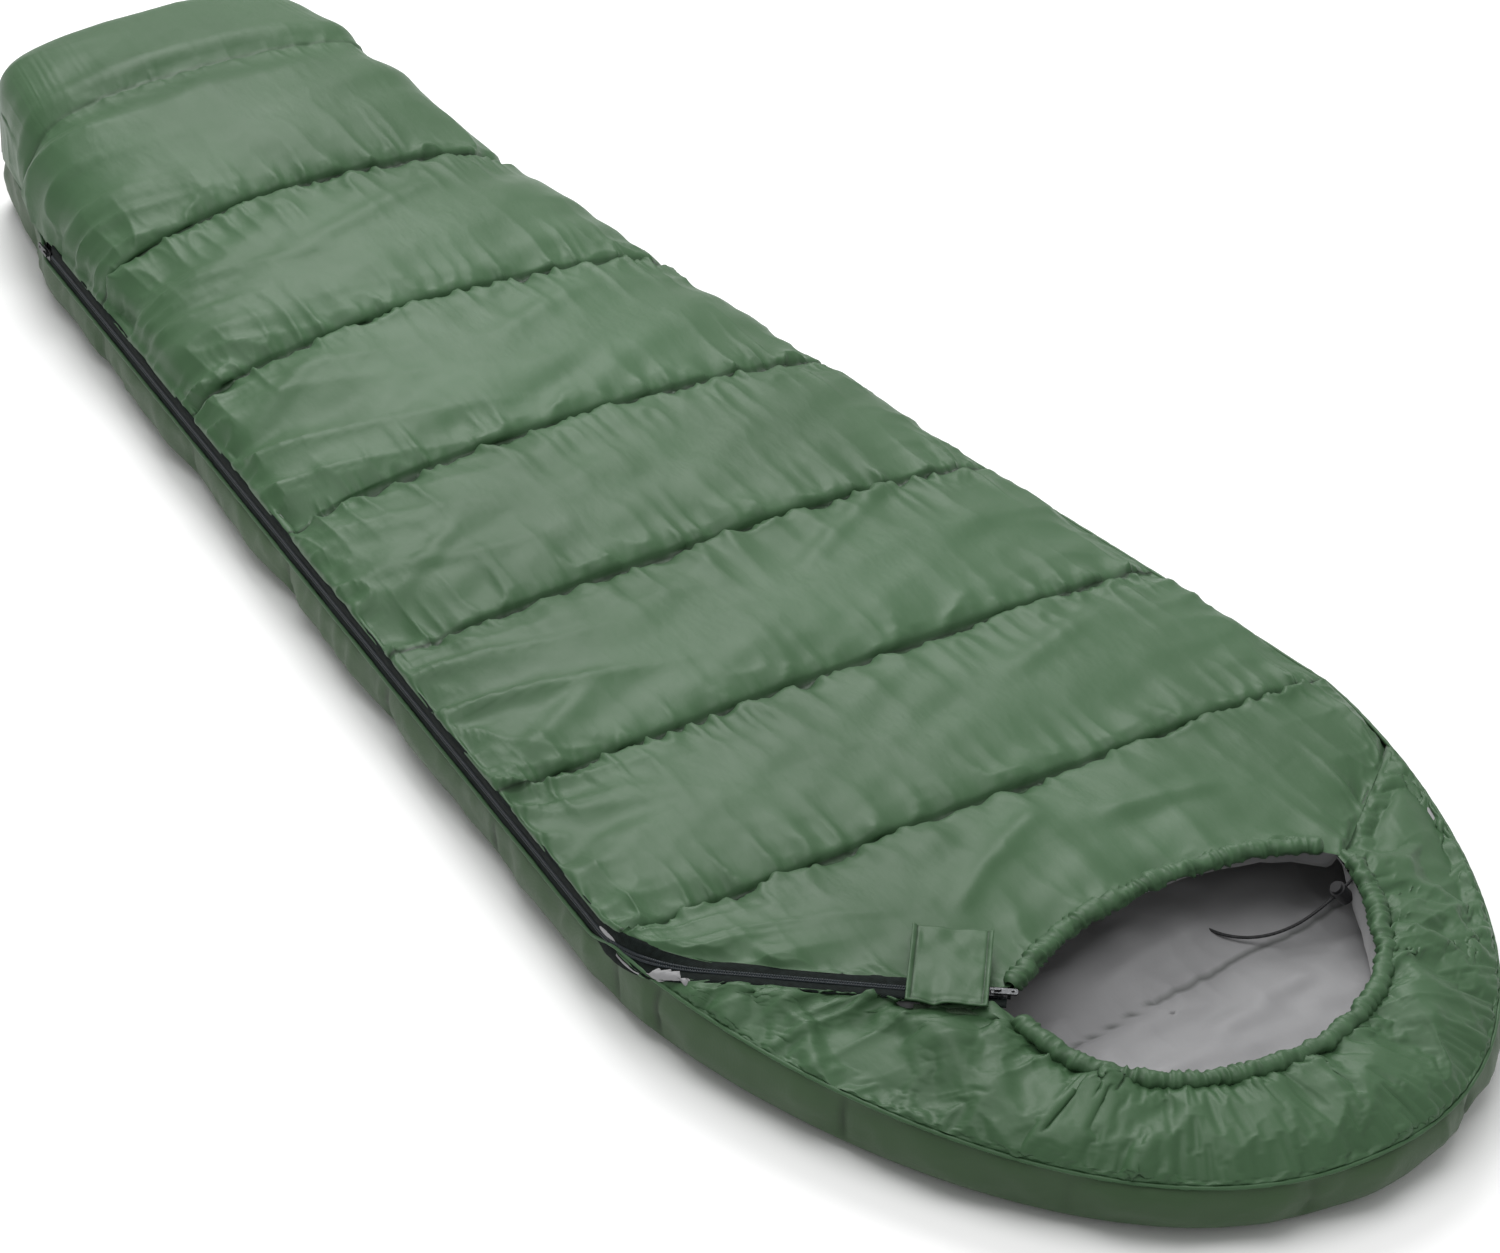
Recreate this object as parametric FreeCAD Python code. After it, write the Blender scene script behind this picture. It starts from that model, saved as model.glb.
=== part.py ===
import FreeCAD, Part
import math
import os

# Mummy sleeping bag, laid flat and zipped shut, in millimetres.
# +Y runs from the head end to the foot end, +Z is up, and the zip is on the -X side.
# The origin is under the middle of the bag, on the surface it lies on.

V = FreeCAD.Vector

# Outline
HEAD_Y = -1050.0
FOOT_Y = 1050.0
SHOULDER_Y = -500.0
SHOULDER_HALF = 408.0
ZIP_FOOT_Y = 823.0
ZIP_FOOT_HALF = 234.0
FOOT_LEFT_HALF = 163.0
FOOT_RIGHT_HALF = 177.0
HOOD_POWER = 1.64
HOOD_ROOT = 1.0 / 2.2

# Heights
SEAM_AT_SHOULDER = 79.0
SEAM_AT_HEAD = 60.0
SEAM_SLOPE = -9.0 / 1166.0
CROWN_AT_SHOULDER = 98.0
FOOTBOX_CROWN = 190.0
SIDE_BULGE = 14.0
SIDE_CORNER = 46.0
HOOD_MIDDLE_Z = 52.0
TOP_POINTS = 12

# Quilt layers, as depths below the outer surface
SHELL = (0.0, 1.0)
FILL = (1.3, 25.3)
LINER = (25.6, 26.6)
SPLIT_GAP = 0.6
SLIVER_SHARE = 0.02
WALL_ZONE = 36.0
WALL_SPLIT_Z = 50.0
FOOTBOX_SEAM_Y = 900.0
FLOOR_CUT = 0.4
FLOOR_PANEL_HEIGHT = 3.0

# Blocks that cut the bag into its regions reach well past it
PAST_SIDE, PAST_END, PAST_TOP, PAST_FLOOR = 700.0, 1200.0, 400.0, -50.0

# Zip: a side run along the seam, a bend at the shoulder, and a run across the hood
ZIP_BEND_Y = -470.0
CROSS_START = (-368.0, -585.0)
CROSS_END = (-172.0, -752.6)
ZIP_STANDOFF = 4.5
CHANNEL_HALF, CHANNEL_DEPTH, CHANNEL_TOP = 6.0, 34.0, 12.0
TAPE_BED_HALF, TAPE_BED_DEPTH = 17.0, 1.2
CHANNEL_PAST_FOOT, CHANNEL_PAST_HEAD = 6.0, 30.0
TAPE_INNER, TAPE_OUTER, TAPE_HALF_THICK = 4.3, 15.0, 0.5
TEETH_INNER, TEETH_OUTER, TEETH_HALF_THICK = 1.2, 4.0, 1.3
UPPER_ROW_SHORT = 24.0
STOP_LENGTH = 3.0
MAIN_SLIDER_BACK, FOOT_SLIDER_AT = 11.0, 14.0

# Zip slider, used twice
SLIDER_LENGTH, SLIDER_WIDTH, PLATE = 16.0, 11.0, 1.0
PLATE_GAP = 1.7
NECK_WIDTH, NECK_LENGTH = 2.0, 5.0
CROWN_WIDTH, CROWN_RISE, CROWN_LENGTH, CROWN_BAR = 2.6, 3.4, 9.0, 1.0
PULL_PIN_R, PULL_WIDTH, PULL_THICK, PULL_LENGTH = 0.8, 8.0, 1.4, 20.0
PULL_EYE_R, EYE_FROM_TIP, PIN_LIFT = 1.6, 4.2, 1.2
PLATE_CORNER, PULL_CORNER, ARM_CLEAR, PLATE_CLEAR = 2.5, 2.0, 0.4, 1.2

# Closure tab over the upper end of the zip
TAB_FROM, TAB_TO = 170.0, 242.0
TAB_HINGE_ACROSS, TAB_RAMP_ACROSS, TAB_LIP_ACROSS, TAB_FREE_ACROSS = 74.0, 24.0, -19.0, -30.0
TAB_THICK, TAB_LIFT, TAB_HINGE_CLEAR = 1.6, 8.4, 1.5
PATCH_THICK, PATCH_CLEAR, PATCH_GAP, PATCH_INSET = 0.9, 0.3, 0.5, 8.0

# Welt in the side seam, as distances out from the surface
WELT_GAP, WELT_OUT, WELT_HALF = 0.3, 3.3, 1.5
WELT_HEAD_Y, WELT_FOOT_Y = -630.0, 832.0

# Face opening: left corner, chin edge, right corner, then round the lower edge
CORNER_LEFT = (-176.0, -762.0)
CHIN = [(-150.0, -733.0), (-80.0, -706.0), (25.0, -689.0), (125.0, -692.0), (190.0, -713.0)]
CORNER_RIGHT = (219.0, -742.0)
LOWER_EDGE = [(212.0, -785.0), (183.0, -840.0), (128.0, -902.0), (25.0, -940.0)]
LOWER_EDGE += [(-90.0, -925.0), (-162.0, -872.0), (-182.0, -812.0)]
CHIN_HEM = [(-160.0, -741.0)] + CHIN[1:] + [(209.0, -728.0)]
HOOD_HEM = [(220.0, -754.0)] + LOWER_EDGE + [(-181.0, -780.0)]
RIM_Z_AT_CHIN, RIM_SLOPE, CHIN_Y = 99.0, 0.035, -690.0
HEM_R, HEM_BORE_R, CORD_R = 7.0, 4.6, 1.5
HEM_CLEAR = 1.6
OPENING_FROM = -20.0

# Free end of the hood's drawcord, with its cord lock and end cap
CORD_POINTS = [(214.5, -766.0, 91.0), (180.3, -762.4, 62.0), (144.0, -745.5, 38.5)]
CORD_POINTS += [(113.0, -719.0, 31.5), (102.0, -678.0, 30.5), (119.0, -639.0, 30.5)]
CAP_R, CAP_LENGTH = 3.0, 10.0
LOCK_OFFSET, LOCK_R, LOCK_CAVITY_R, LOCK_BORE_R = 17.0, 7.5, 5.6, 2.3
LOCK_LOW, LOCK_HIGH, LOCK_FLOOR = 12.0, 6.0, 1.5
PLUNGER_LOW, PLUNGER_HIGH, PLUNGER_TRAVEL = 3.2, 10.0, 3.0
LOCK_BORE_HALF, PLUNGER_CLEAR = 30.0, 0.1
SPRING_R, SPRING_WIRE_R, SPRING_TURNS, SPRING_CLEAR = 4.2, 0.45, 3.0, 0.05
SPRING_STEPS_PER_TURN = 16
HOLE_CLEAR, HOLE_LENGTH, HOLE_BACK = 0.4, 30.0, 6.0

# Fold line of the opening flap: from the zip's foot end to the right corner of the face opening
FOLD_FOOT = V(-233.0, 823.0, 176.0)
FOLD_HEAD = V(226.0, -738.0, 122.0)
HOOD_SEAM_END = (384.0, -632.0)
HOOD_SEAM_PAST, ZIP_LINE_PAST, ZIP_LINE_IN, FOLD_PAST = 2.2, 190.0, 60.0, 60.0

PARTS = "parts"


def mix(a, b, t):
    return a + (b - a) * t


def hood_fraction(y):
    return min(1.0, max(0.0, (SHOULDER_Y - y) / (SHOULDER_Y - HEAD_Y)))


def hood_taper(y):
    return (1.0 - hood_fraction(y) ** HOOD_POWER) ** HOOD_ROOT


def left_half(y):
    if y < SHOULDER_Y:
        return SHOULDER_HALF * hood_taper(y)
    if y < ZIP_FOOT_Y:
        return mix(SHOULDER_HALF, ZIP_FOOT_HALF, (y - SHOULDER_Y) / (ZIP_FOOT_Y - SHOULDER_Y))
    return mix(ZIP_FOOT_HALF, FOOT_LEFT_HALF, (y - ZIP_FOOT_Y) / (FOOT_Y - ZIP_FOOT_Y))


def right_half(y):
    if y < SHOULDER_Y:
        return SHOULDER_HALF * hood_taper(y)
    t = (y - SHOULDER_Y) / (FOOT_Y - SHOULDER_Y)
    return SHOULDER_HALF - 138.0 * t - (SHOULDER_HALF - 138.0 - FOOT_RIGHT_HALF) * t * t


def seam_height(y):
    if y < SHOULDER_Y:
        return mix(SEAM_AT_SHOULDER, SEAM_AT_HEAD, (SHOULDER_Y - y) / (SHOULDER_Y - HEAD_Y))
    return SEAM_AT_SHOULDER + SEAM_SLOPE * (y - SHOULDER_Y)


def hood_round(y, power):
    """How much of the bag's full height is left at y, as the hood rounds down to its end."""
    return (1.0 - hood_fraction(y) ** power) ** 0.5


def crown_height(y):
    if y < SHOULDER_Y:
        return CROWN_AT_SHOULDER + 4.0 * hood_fraction(y)
    t = (y - SHOULDER_Y) / 583.0
    return min(CROWN_AT_SHOULDER + 3.0 * t + 16.0 * t * t, FOOTBOX_CROWN)


def dome_height(x, y):
    """Height of the outer surface over a point of the plan."""
    middle = (right_half(y) - left_half(y)) / 2.0
    half = (right_half(y) + left_half(y)) / 2.0
    reach = min(1.0, abs(x - middle) / half)
    low = mix(HOOD_MIDDLE_Z, seam_height(y), hood_round(y, 8))
    high = mix(HOOD_MIDDLE_Z, crown_height(y), hood_round(y, 6))
    return low + (high - low) * (1.0 - reach * reach) ** 0.34


def section(y, inset, shrink):
    """Closed outline of the bag across its length, pulled in by inset."""
    y_inner = y
    if y < SHOULDER_Y:
        y_inner = SHOULDER_Y + (y - SHOULDER_Y) * (1.0 - inset / (SHOULDER_Y - HEAD_Y))
    if y > ZIP_FOOT_Y:
        y_inner = ZIP_FOOT_Y + (y - ZIP_FOOT_Y) * (1.0 - inset / (FOOT_Y - ZIP_FOOT_Y))
    pull = inset + shrink
    taper = hood_taper(y) if y < SHOULDER_Y else 1.0
    left = -left_half(y) + shrink + inset * taper
    right = right_half(y) - shrink - inset * taper
    crown = mix(HOOD_MIDDLE_Z, crown_height(y) - pull, hood_round(y, 6))
    seam = mix(HOOD_MIDDLE_Z, seam_height(y_inner), hood_round(y, 8))
    floor = mix(HOOD_MIDDLE_Z, pull - FLOOR_CUT, hood_round(y, 14))
    middle = (left + right) / 2.0
    half = (right - left) / 2.0
    corner = min(SIDE_CORNER, 0.55 * half)
    bulge = SIDE_BULGE * half / SHOULDER_HALF
    points = []
    for k in range(TOP_POINTS + 1):
        a = math.pi * (1.0 - k / float(TOP_POINTS))
        rise = abs(math.sin(a)) ** 0.68 if 0 < k < TOP_POINTS else 0.0
        points.append(V(middle + half * math.cos(a), y_inner, seam + (crown - seam) * rise))
    top = Part.BSplineCurve()
    top.interpolate(Points=points)
    wall_z = mix(seam, floor, 0.5)
    start = points[0]
    end = points[-1]
    right_wall = Part.BezierCurve()
    right_foot = V(end.x - corner, y_inner, floor)
    left_foot = V(start.x + corner, y_inner, floor)
    right_wall.setPoles([end, V(end.x + bulge, y_inner, wall_z), V(end.x, y_inner, floor), right_foot])
    left_wall = Part.BezierCurve()
    left_wall.setPoles([left_foot, V(start.x, y_inner, floor), V(start.x - bulge, y_inner, wall_z), start])
    base = Part.LineSegment(right_foot, left_foot)
    return Part.Wire([top.toShape(), right_wall.toShape(), base.toShape(), left_wall.toShape()])


def bag_solid(inset):
    """The whole bag as one closed solid, pulled in by inset all round."""
    stations = []
    for u in (0.996, 0.96, 0.88, 0.74, 0.5, 0.25):
        stations.append((SHOULDER_Y + u * (HEAD_Y - SHOULDER_Y), 0.0))
    y = SHOULDER_Y
    while y < ZIP_FOOT_Y - 100.0:
        stations.append((y, 0.0))
        y += 220.5
    stations += [(ZIP_FOOT_Y, 0.0), (930.0, 0.0), (1000.0, 1.0), (1030.0, 5.0), (FOOT_Y, 20.0)]
    wires = [section(y, inset, shrink) for y, shrink in stations]
    return Part.makeLoft(wires, True, False)


def plan_prism(points):
    """Upright block over a plan outline, taller than the bag."""
    ring = [V(x, y, PAST_FLOOR) for x, y in points]
    return Part.Face(Part.makePolygon(ring + ring[:1])).extrude(V(0, 0, PAST_TOP - PAST_FLOOR))


def level_block(low, high):
    """Everything between two heights."""
    return Part.makeBox(2.0 * PAST_SIDE, 2.0 * PAST_END, high - low, V(-PAST_SIDE, -PAST_END, low))


def seam_wedge(low_offset, high_offset):
    """Slab that follows the side seam's height, between two offsets above it."""
    stations = (-PAST_END, SHOULDER_Y, PAST_END)
    ring = [V(-PAST_SIDE, y, seam_height(y) + low_offset) for y in stations]
    ring += [V(-PAST_SIDE, y, seam_height(y) + high_offset) for y in reversed(stations)]
    return Part.Face(Part.makePolygon(ring + ring[:1])).extrude(V(2.0 * PAST_SIDE, 0, 0))


# --- Zip path -------------------------------------------------------------

class Station:
    """A point of the zip's middle line, with directions along, across to the flap, and out."""

    def __init__(self, point, along, across):
        self.along = along.normalize()
        self.across = (across - self.along * across.dot(self.along)).normalize()
        self.out = self.along.cross(self.across)
        self.point = point

    def at(self, s, across, out):
        return self.point + self.along * s + self.across * across + self.out * out

    def placement(self, s=0.0):
        axes = FreeCAD.Rotation(self.along, self.across, self.out, "XYZ")
        return FreeCAD.Placement(self.at(s, 0.0, 0.0), axes)


def side_point(y):
    return V(-left_half(y) - ZIP_STANDOFF + 1.5, y, seam_height(y))


side_start = side_point(ZIP_FOOT_Y)
side_end = side_point(ZIP_BEND_Y)
SIDE_RUN = (side_end - side_start).Length
cross_start = V(CROSS_START[0], CROSS_START[1], dome_height(*CROSS_START) + ZIP_STANDOFF)
cross_end = V(CROSS_END[0], CROSS_END[1], dome_height(*CROSS_END) + ZIP_STANDOFF)
CROSS_RUN = (cross_end - cross_start).Length
side = Station(side_start, side_end - side_start, V(0, 0, 1))
cross = Station(cross_start, cross_end - cross_start, V(0.65, 0.76, 0))


def bend_stations(count=7):
    """Stations round the shoulder, from the side run to the cross run."""
    reach = 0.36 * (cross_start - side_end).Length
    poles = [side_end, side_end + side.along * reach, cross_start - cross.along * reach, cross_start]
    curve = Part.BezierCurve()
    curve.setPoles(poles)
    stations = []
    for k in range(count):
        t = k / (count - 1.0)
        along = curve.tangent(t)[0]
        across = side.across * (1.0 - t) + cross.across * t
        stations.append(Station(curve.value(t), along, across))
    return stations


def strip_wire(station, s, low, high, inner, outer):
    corners = [(low, inner), (high, inner), (high, outer), (low, outer)]
    ring = [station.at(s, a, o) for a, o in corners]
    return Part.makePolygon(ring + ring[:1])


def strip(low, high, inner, outer, side_from=0.0, cross_to=None):
    """A band beside the zip's middle line: low to high across it, inner to outer along its out direction."""
    if cross_to is None:
        cross_to = CROSS_RUN
    size = (low, high, inner, outer)
    side_ends = [strip_wire(side, side_from, *size), strip_wire(side, SIDE_RUN, *size)]
    bend_wires = [strip_wire(station, 0.0, *size) for station in bend_stations()]
    cross_ends = [strip_wire(cross, 0.0, *size), strip_wire(cross, cross_to, *size)]
    parts = [Part.makeLoft(wires, True, True) for wires in (side_ends, bend_wires, cross_ends)]
    return parts[0].fuse(parts[1:])


# --- Face opening ---------------------------------------------------------

def rim_point(xy):
    return V(xy[0], xy[1], RIM_Z_AT_CHIN + RIM_SLOPE * (xy[1] - CHIN_Y))


def opening_outline(grow):
    """Closed plan outline of the face opening, grown outwards."""
    corners = [CORNER_LEFT] + CHIN + [CORNER_RIGHT] + LOWER_EDGE
    count = len(corners)
    points = []
    for k in range(count):
        before = corners[k - 1]
        after = corners[(k + 1) % count]
        tangent = V(after[0] - before[0], after[1] - before[1], 0).normalize()
        points.append(V(corners[k][0] - tangent.y * grow, corners[k][1] + tangent.x * grow, 0))
    curve = Part.BSplineCurve()
    curve.interpolate(Points=points, PeriodicFlag=True)
    return Part.Wire(curve.toShape())


def opening_prism(grow):
    outline = opening_outline(grow)
    outline.translate(V(0, 0, OPENING_FROM))
    return Part.Face(outline).extrude(V(0, 0, PAST_TOP))


def rim_tube(points, radius):
    curve = Part.BSplineCurve()
    curve.interpolate(Points=points)
    path = Part.Wire(curve.toShape())
    circle = Part.Wire(Part.makeCircle(radius, points[0], curve.tangent(curve.FirstParameter)[0]))
    return path.makePipeShell([circle], True, True)


# --- Regions of the quilts ------------------------------------------------

def inner_prism():
    """Upright prism inside the bag's side walls. The top quilts own what is in it, above half height."""
    left, right = [], []
    for u in (0.999, 0.985, 0.94, 0.85, 0.7, 0.5, 0.25, 0.0):
        y = SHOULDER_Y + u * (HEAD_Y - SHOULDER_Y)
        y_inner = SHOULDER_Y + u * (HEAD_Y - SHOULDER_Y + WALL_ZONE)
        left.append(V(-left_half(y) + WALL_ZONE * hood_taper(y), y_inner, WALL_SPLIT_Z))
        right.append(V(right_half(y) - WALL_ZONE * hood_taper(y), y_inner, WALL_SPLIT_Z))
    for y in (-280.0, -60.0, 160.0, 380.0, 600.0, ZIP_FOOT_Y, 930.0, FOOT_Y - WALL_ZONE):
        left.append(V(-left_half(y) + WALL_ZONE, y, WALL_SPLIT_Z))
        right.append(V(right_half(y) - WALL_ZONE, y, WALL_SPLIT_Z))
    left_curve = Part.BSplineCurve()
    left_curve.interpolate(Points=left)
    right_curve = Part.BSplineCurve()
    right_curve.interpolate(Points=right)
    head = Part.LineSegment(left[0], right[0]).toShape()
    foot = Part.LineSegment(left[-1], right[-1]).toShape()
    outline = Part.Wire(Part.sortEdges([left_curve.toShape(), foot, right_curve.toShape(), head])[0])
    return Part.Face(outline).extrude(V(0, 0, PAST_TOP))


def fold_plane_points(offset):
    """The fold line in plan, moved sideways by offset and run on past both its ends."""
    run = (FOLD_HEAD - FOLD_FOOT)
    run.z = 0
    run.normalize()
    side_step = V(-run.y, run.x, 0) * offset
    foot = FOLD_FOOT - run * FOLD_PAST + side_step
    head = FOLD_HEAD + side_step
    return (foot.x, foot.y), (head.x, head.y)


def make_regions():
    """The space that each quilt panel is cut from."""
    inside = inner_prism()
    above = seam_wedge(SPLIT_GAP / 2.0, PAST_TOP).fuse(inside)
    below = seam_wedge(-PAST_TOP, -SPLIT_GAP / 2.0).cut(inside)
    zip_ends = {"side_from": -CHANNEL_PAST_FOOT, "cross_to": CROSS_RUN + CHANNEL_PAST_HEAD}
    channel = strip(-CHANNEL_HALF, CHANNEL_HALF, -CHANNEL_DEPTH, CHANNEL_TOP, **zip_ends)
    tape_bed = strip(-TAPE_BED_HALF, TAPE_BED_HALF, -TAPE_BED_DEPTH, CHANNEL_TOP, **zip_ends)
    opening = opening_prism(HEM_R + HEM_CLEAR)
    past_shoulder = cross.at(-ZIP_LINE_PAST, 0.0, 0.0)
    past_corner = cross.at(CROSS_RUN + ZIP_LINE_IN, 0.0, 0.0)
    zip_line = [(past_shoulder.x, past_shoulder.y), (past_corner.x, past_corner.y)]
    foot_left, head_left = fold_plane_points(-SPLIT_GAP / 2.0)
    foot_right, head_right = fold_plane_points(SPLIT_GAP / 2.0)
    hood_corner = (FOLD_HEAD.x, FOLD_HEAD.y)
    seam_far = tuple(mix(a, b, HOOD_SEAM_PAST) for a, b in zip(hood_corner, HOOD_SEAM_END))
    flap = plan_prism(zip_line + [head_left, foot_left, (-PAST_SIDE, foot_left[1])])
    main_top = [foot_right, head_right, seam_far]
    main_top += [(PAST_SIDE, FOOTBOX_SEAM_Y), (foot_right[0], FOOTBOX_SEAM_Y)]
    zip_foot_y = ZIP_FOOT_Y + CHANNEL_PAST_FOOT
    left_x, right_x = foot_left[0] - PAST_SIDE / 2.0, foot_right[0] + WALL_ZONE
    beyond_zip = [(left_x, zip_foot_y), (right_x, zip_foot_y)]
    beyond_zip += [(right_x, FOOTBOX_SEAM_Y), (left_x, FOOTBOX_SEAM_Y)]
    head_end = [hood_corner, seam_far, (PAST_SIDE, -PAST_END), (-PAST_SIDE, -PAST_END)]
    fixed = plan_prism(main_top)
    hood = plan_prism(zip_line + head_end).cut([fixed, flap])
    fixed = fixed.fuse(plan_prism(beyond_zip).cut(flap))
    foot_y = FOOTBOX_SEAM_Y + SPLIT_GAP
    foot_end = [(-PAST_SIDE, foot_y), (PAST_SIDE, foot_y), (PAST_SIDE, PAST_END), (-PAST_SIDE, PAST_END)]
    footbox = plan_prism(foot_end)
    return {
        "top_flap": above.common(flap).cut([channel, tape_bed, opening]),
        "top_quilt": above.common(fixed).cut([channel, tape_bed, opening]),
        "hood": above.common(hood).cut([channel, tape_bed, opening]),
        "footbox": above.common(footbox),
        "bottom": below.cut([channel, tape_bed]),
    }


NODES = {}


def keep(name, shape):
    """Stores a node, without the slivers that a cut can leave beside its solids."""
    largest = max(solid.Volume for solid in shape.Solids)
    solids = [solid for solid in shape.Solids if solid.Volume > largest * SLIVER_SHARE]
    NODES[name] = solids[0] if len(solids) == 1 else Part.makeCompound(solids)


def make_quilts():
    """Shell, fill and liner of each panel. The bottom's shell is a floor panel and a side band."""
    regions = make_regions()
    for layer, (outside, inside) in (("shell", SHELL), ("fill", FILL), ("liner", LINER)):
        skin = bag_solid(outside).cut([bag_solid(inside), level_block(-PAST_TOP, 0.0)])
        for region, space in regions.items():
            if (region, layer) == ("bottom", "shell"):
                whole = skin.common(space)
                keep("bottom_shell", whole.common(level_block(-1.0, FLOOR_PANEL_HEIGHT)))
                keep("side_shell", whole.common(level_block(FLOOR_PANEL_HEIGHT, PAST_TOP)))
            else:
                keep(region + "_" + layer, skin.common(space))


def make_side_welt():
    band = bag_solid(-WELT_OUT).cut(bag_solid(-WELT_GAP)).common(seam_wedge(-WELT_HALF, WELT_HALF))
    zip_side = [(-PAST_SIDE, WELT_HEAD_Y), (0.0, WELT_HEAD_Y), (0.0, WELT_FOOT_Y), (-PAST_SIDE, WELT_FOOT_Y)]
    beside_zip = plan_prism(zip_side)
    keep("side_welt", band.cut(beside_zip))


# --- Zip --------------------------------------------------------------------

def frame_box(station, s_range, across_range, out_range):
    """A block in a station's own directions."""
    size = [high - low for low, high in (s_range, across_range, out_range)]
    box = Part.makeBox(*size)
    box.translate(V(s_range[0], across_range[0], out_range[0]))
    box.Placement = station.placement().multiply(box.Placement)
    return box


def make_zip_rows():
    tape = (-TAPE_HALF_THICK, TAPE_HALF_THICK)
    teeth = (-TEETH_HALF_THICK, TEETH_HALF_THICK)
    upper_end = CROSS_RUN - UPPER_ROW_SHORT
    upper = {"side_from": UPPER_ROW_SHORT, "cross_to": upper_end}
    lower = {"side_from": STOP_LENGTH + 2.0, "cross_to": CROSS_RUN - 1.0}
    keep("zip_tape_lower", strip(-TAPE_OUTER, -TAPE_INNER, *tape, cross_to=CROSS_RUN + STOP_LENGTH))
    keep("zip_teeth_lower", strip(-TEETH_OUTER, -TEETH_INNER, *teeth, **lower))
    keep("zip_tape_upper", strip(TAPE_INNER, TAPE_OUTER, *tape, **upper))
    keep("zip_teeth_upper", strip(TEETH_INNER, TEETH_OUTER, *teeth, **upper))
    foot_stop = frame_box(side, (1.0, 1.0 + STOP_LENGTH), (-TEETH_OUTER, TEETH_OUTER), teeth)
    head_stop = frame_box(cross, (CROSS_RUN, CROSS_RUN + STOP_LENGTH), (-TEETH_OUTER, -TEETH_INNER), teeth)
    keep("zip_stops", Part.makeCompound([foot_stop, head_stop]))


def middle_box(length, width, low, high):
    """A block centred on the slider, between two heights."""
    return Part.makeBox(length, width, high - low, V(-length / 2.0, -width / 2.0, low))


def slider_body():
    plates = []
    for low in (-PLATE_GAP - PLATE, PLATE_GAP):
        plate = middle_box(SLIDER_LENGTH, SLIDER_WIDTH, low, low + PLATE)
        upright = [e for e in plate.Edges if abs(e.tangentAt(e.FirstParameter).z) > 0.9]
        plates.append(plate.makeFillet(PLATE_CORNER, upright))
    neck = middle_box(NECK_LENGTH, NECK_WIDTH, -PLATE_GAP, PLATE_GAP)
    top = PLATE_GAP + PLATE
    crown = middle_box(CROWN_LENGTH, CROWN_WIDTH, top, top + CROWN_RISE)
    tunnel = middle_box(CROWN_LENGTH - 2.0 * CROWN_BAR, CROWN_WIDTH + 2.0, top, top + CROWN_RISE - CROWN_BAR)
    return plates[0].fuse([neck, plates[1], crown.cut(tunnel)]).removeSplitter()


def slider_pull(direction):
    """Pull tab lying flat, with its pin through the slider's crown and its plate towards direction."""
    half_width, half_thick = PULL_WIDTH / 2.0, PULL_THICK / 2.0
    pin = Part.makeCylinder(PULL_PIN_R, PULL_WIDTH, V(0, -half_width, 0), V(0, 1, 0))
    arm_width = half_width - CROWN_WIDTH / 2.0 - ARM_CLEAR
    plate_from = CROWN_LENGTH / 2.0 + PLATE_CLEAR
    pieces = []
    for low in (-half_width, half_width - arm_width):
        pieces.append(Part.makeBox(plate_from + 1.0, arm_width, PULL_THICK, V(0, low, -half_thick)))
    plate = Part.makeBox(PULL_LENGTH - plate_from, PULL_WIDTH, PULL_THICK)
    plate.translate(V(plate_from, -half_width, -half_thick))
    tip = [e for e in plate.Edges if e.BoundBox.XMin > PULL_LENGTH - 0.1 and e.BoundBox.ZLength > 1.0]
    pieces.append(plate.makeFillet(PULL_CORNER, tip))
    eye = Part.makeCylinder(PULL_EYE_R, 2.0 * PULL_THICK, V(PULL_LENGTH - EYE_FROM_TIP, 0, -PULL_THICK))
    pull = pin.fuse(pieces).cut(eye).removeSplitter()
    if direction < 0:
        pull.rotate(V(0, 0, 0), V(0, 0, 1), 180.0)
    pull.translate(V(0, 0, PLATE_GAP + PLATE + PIN_LIFT))
    return pull


def make_slider(prefix, station, s, direction):
    for name, shape in ((prefix + "_body", slider_body()), (prefix + "_pull", slider_pull(direction))):
        shape.Placement = station.placement(s).multiply(shape.Placement)
        keep(name, shape)
    pin = station.at(s, 0.0, PLATE_GAP + PLATE + PIN_LIFT)
    print(prefix, "pin", pin, "along", station.along, "across", station.across)


# --- Closure tab --------------------------------------------------------------

def surface_out(s, across):
    """Height of the quilt's outer surface over the cross run's own plane."""
    point = cross.at(s, across, 0.0)
    return (dome_height(point.x, point.y) - point.z) / cross.out.z


def profile_block(profile, s_from, s_to):
    """A profile of (across, out) points, run along the cross run."""
    ring = [cross.at(s_from, a, o) for a, o in profile]
    return Part.Face(Part.makePolygon(ring + ring[:1])).extrude(cross.along * (s_to - s_from))


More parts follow.
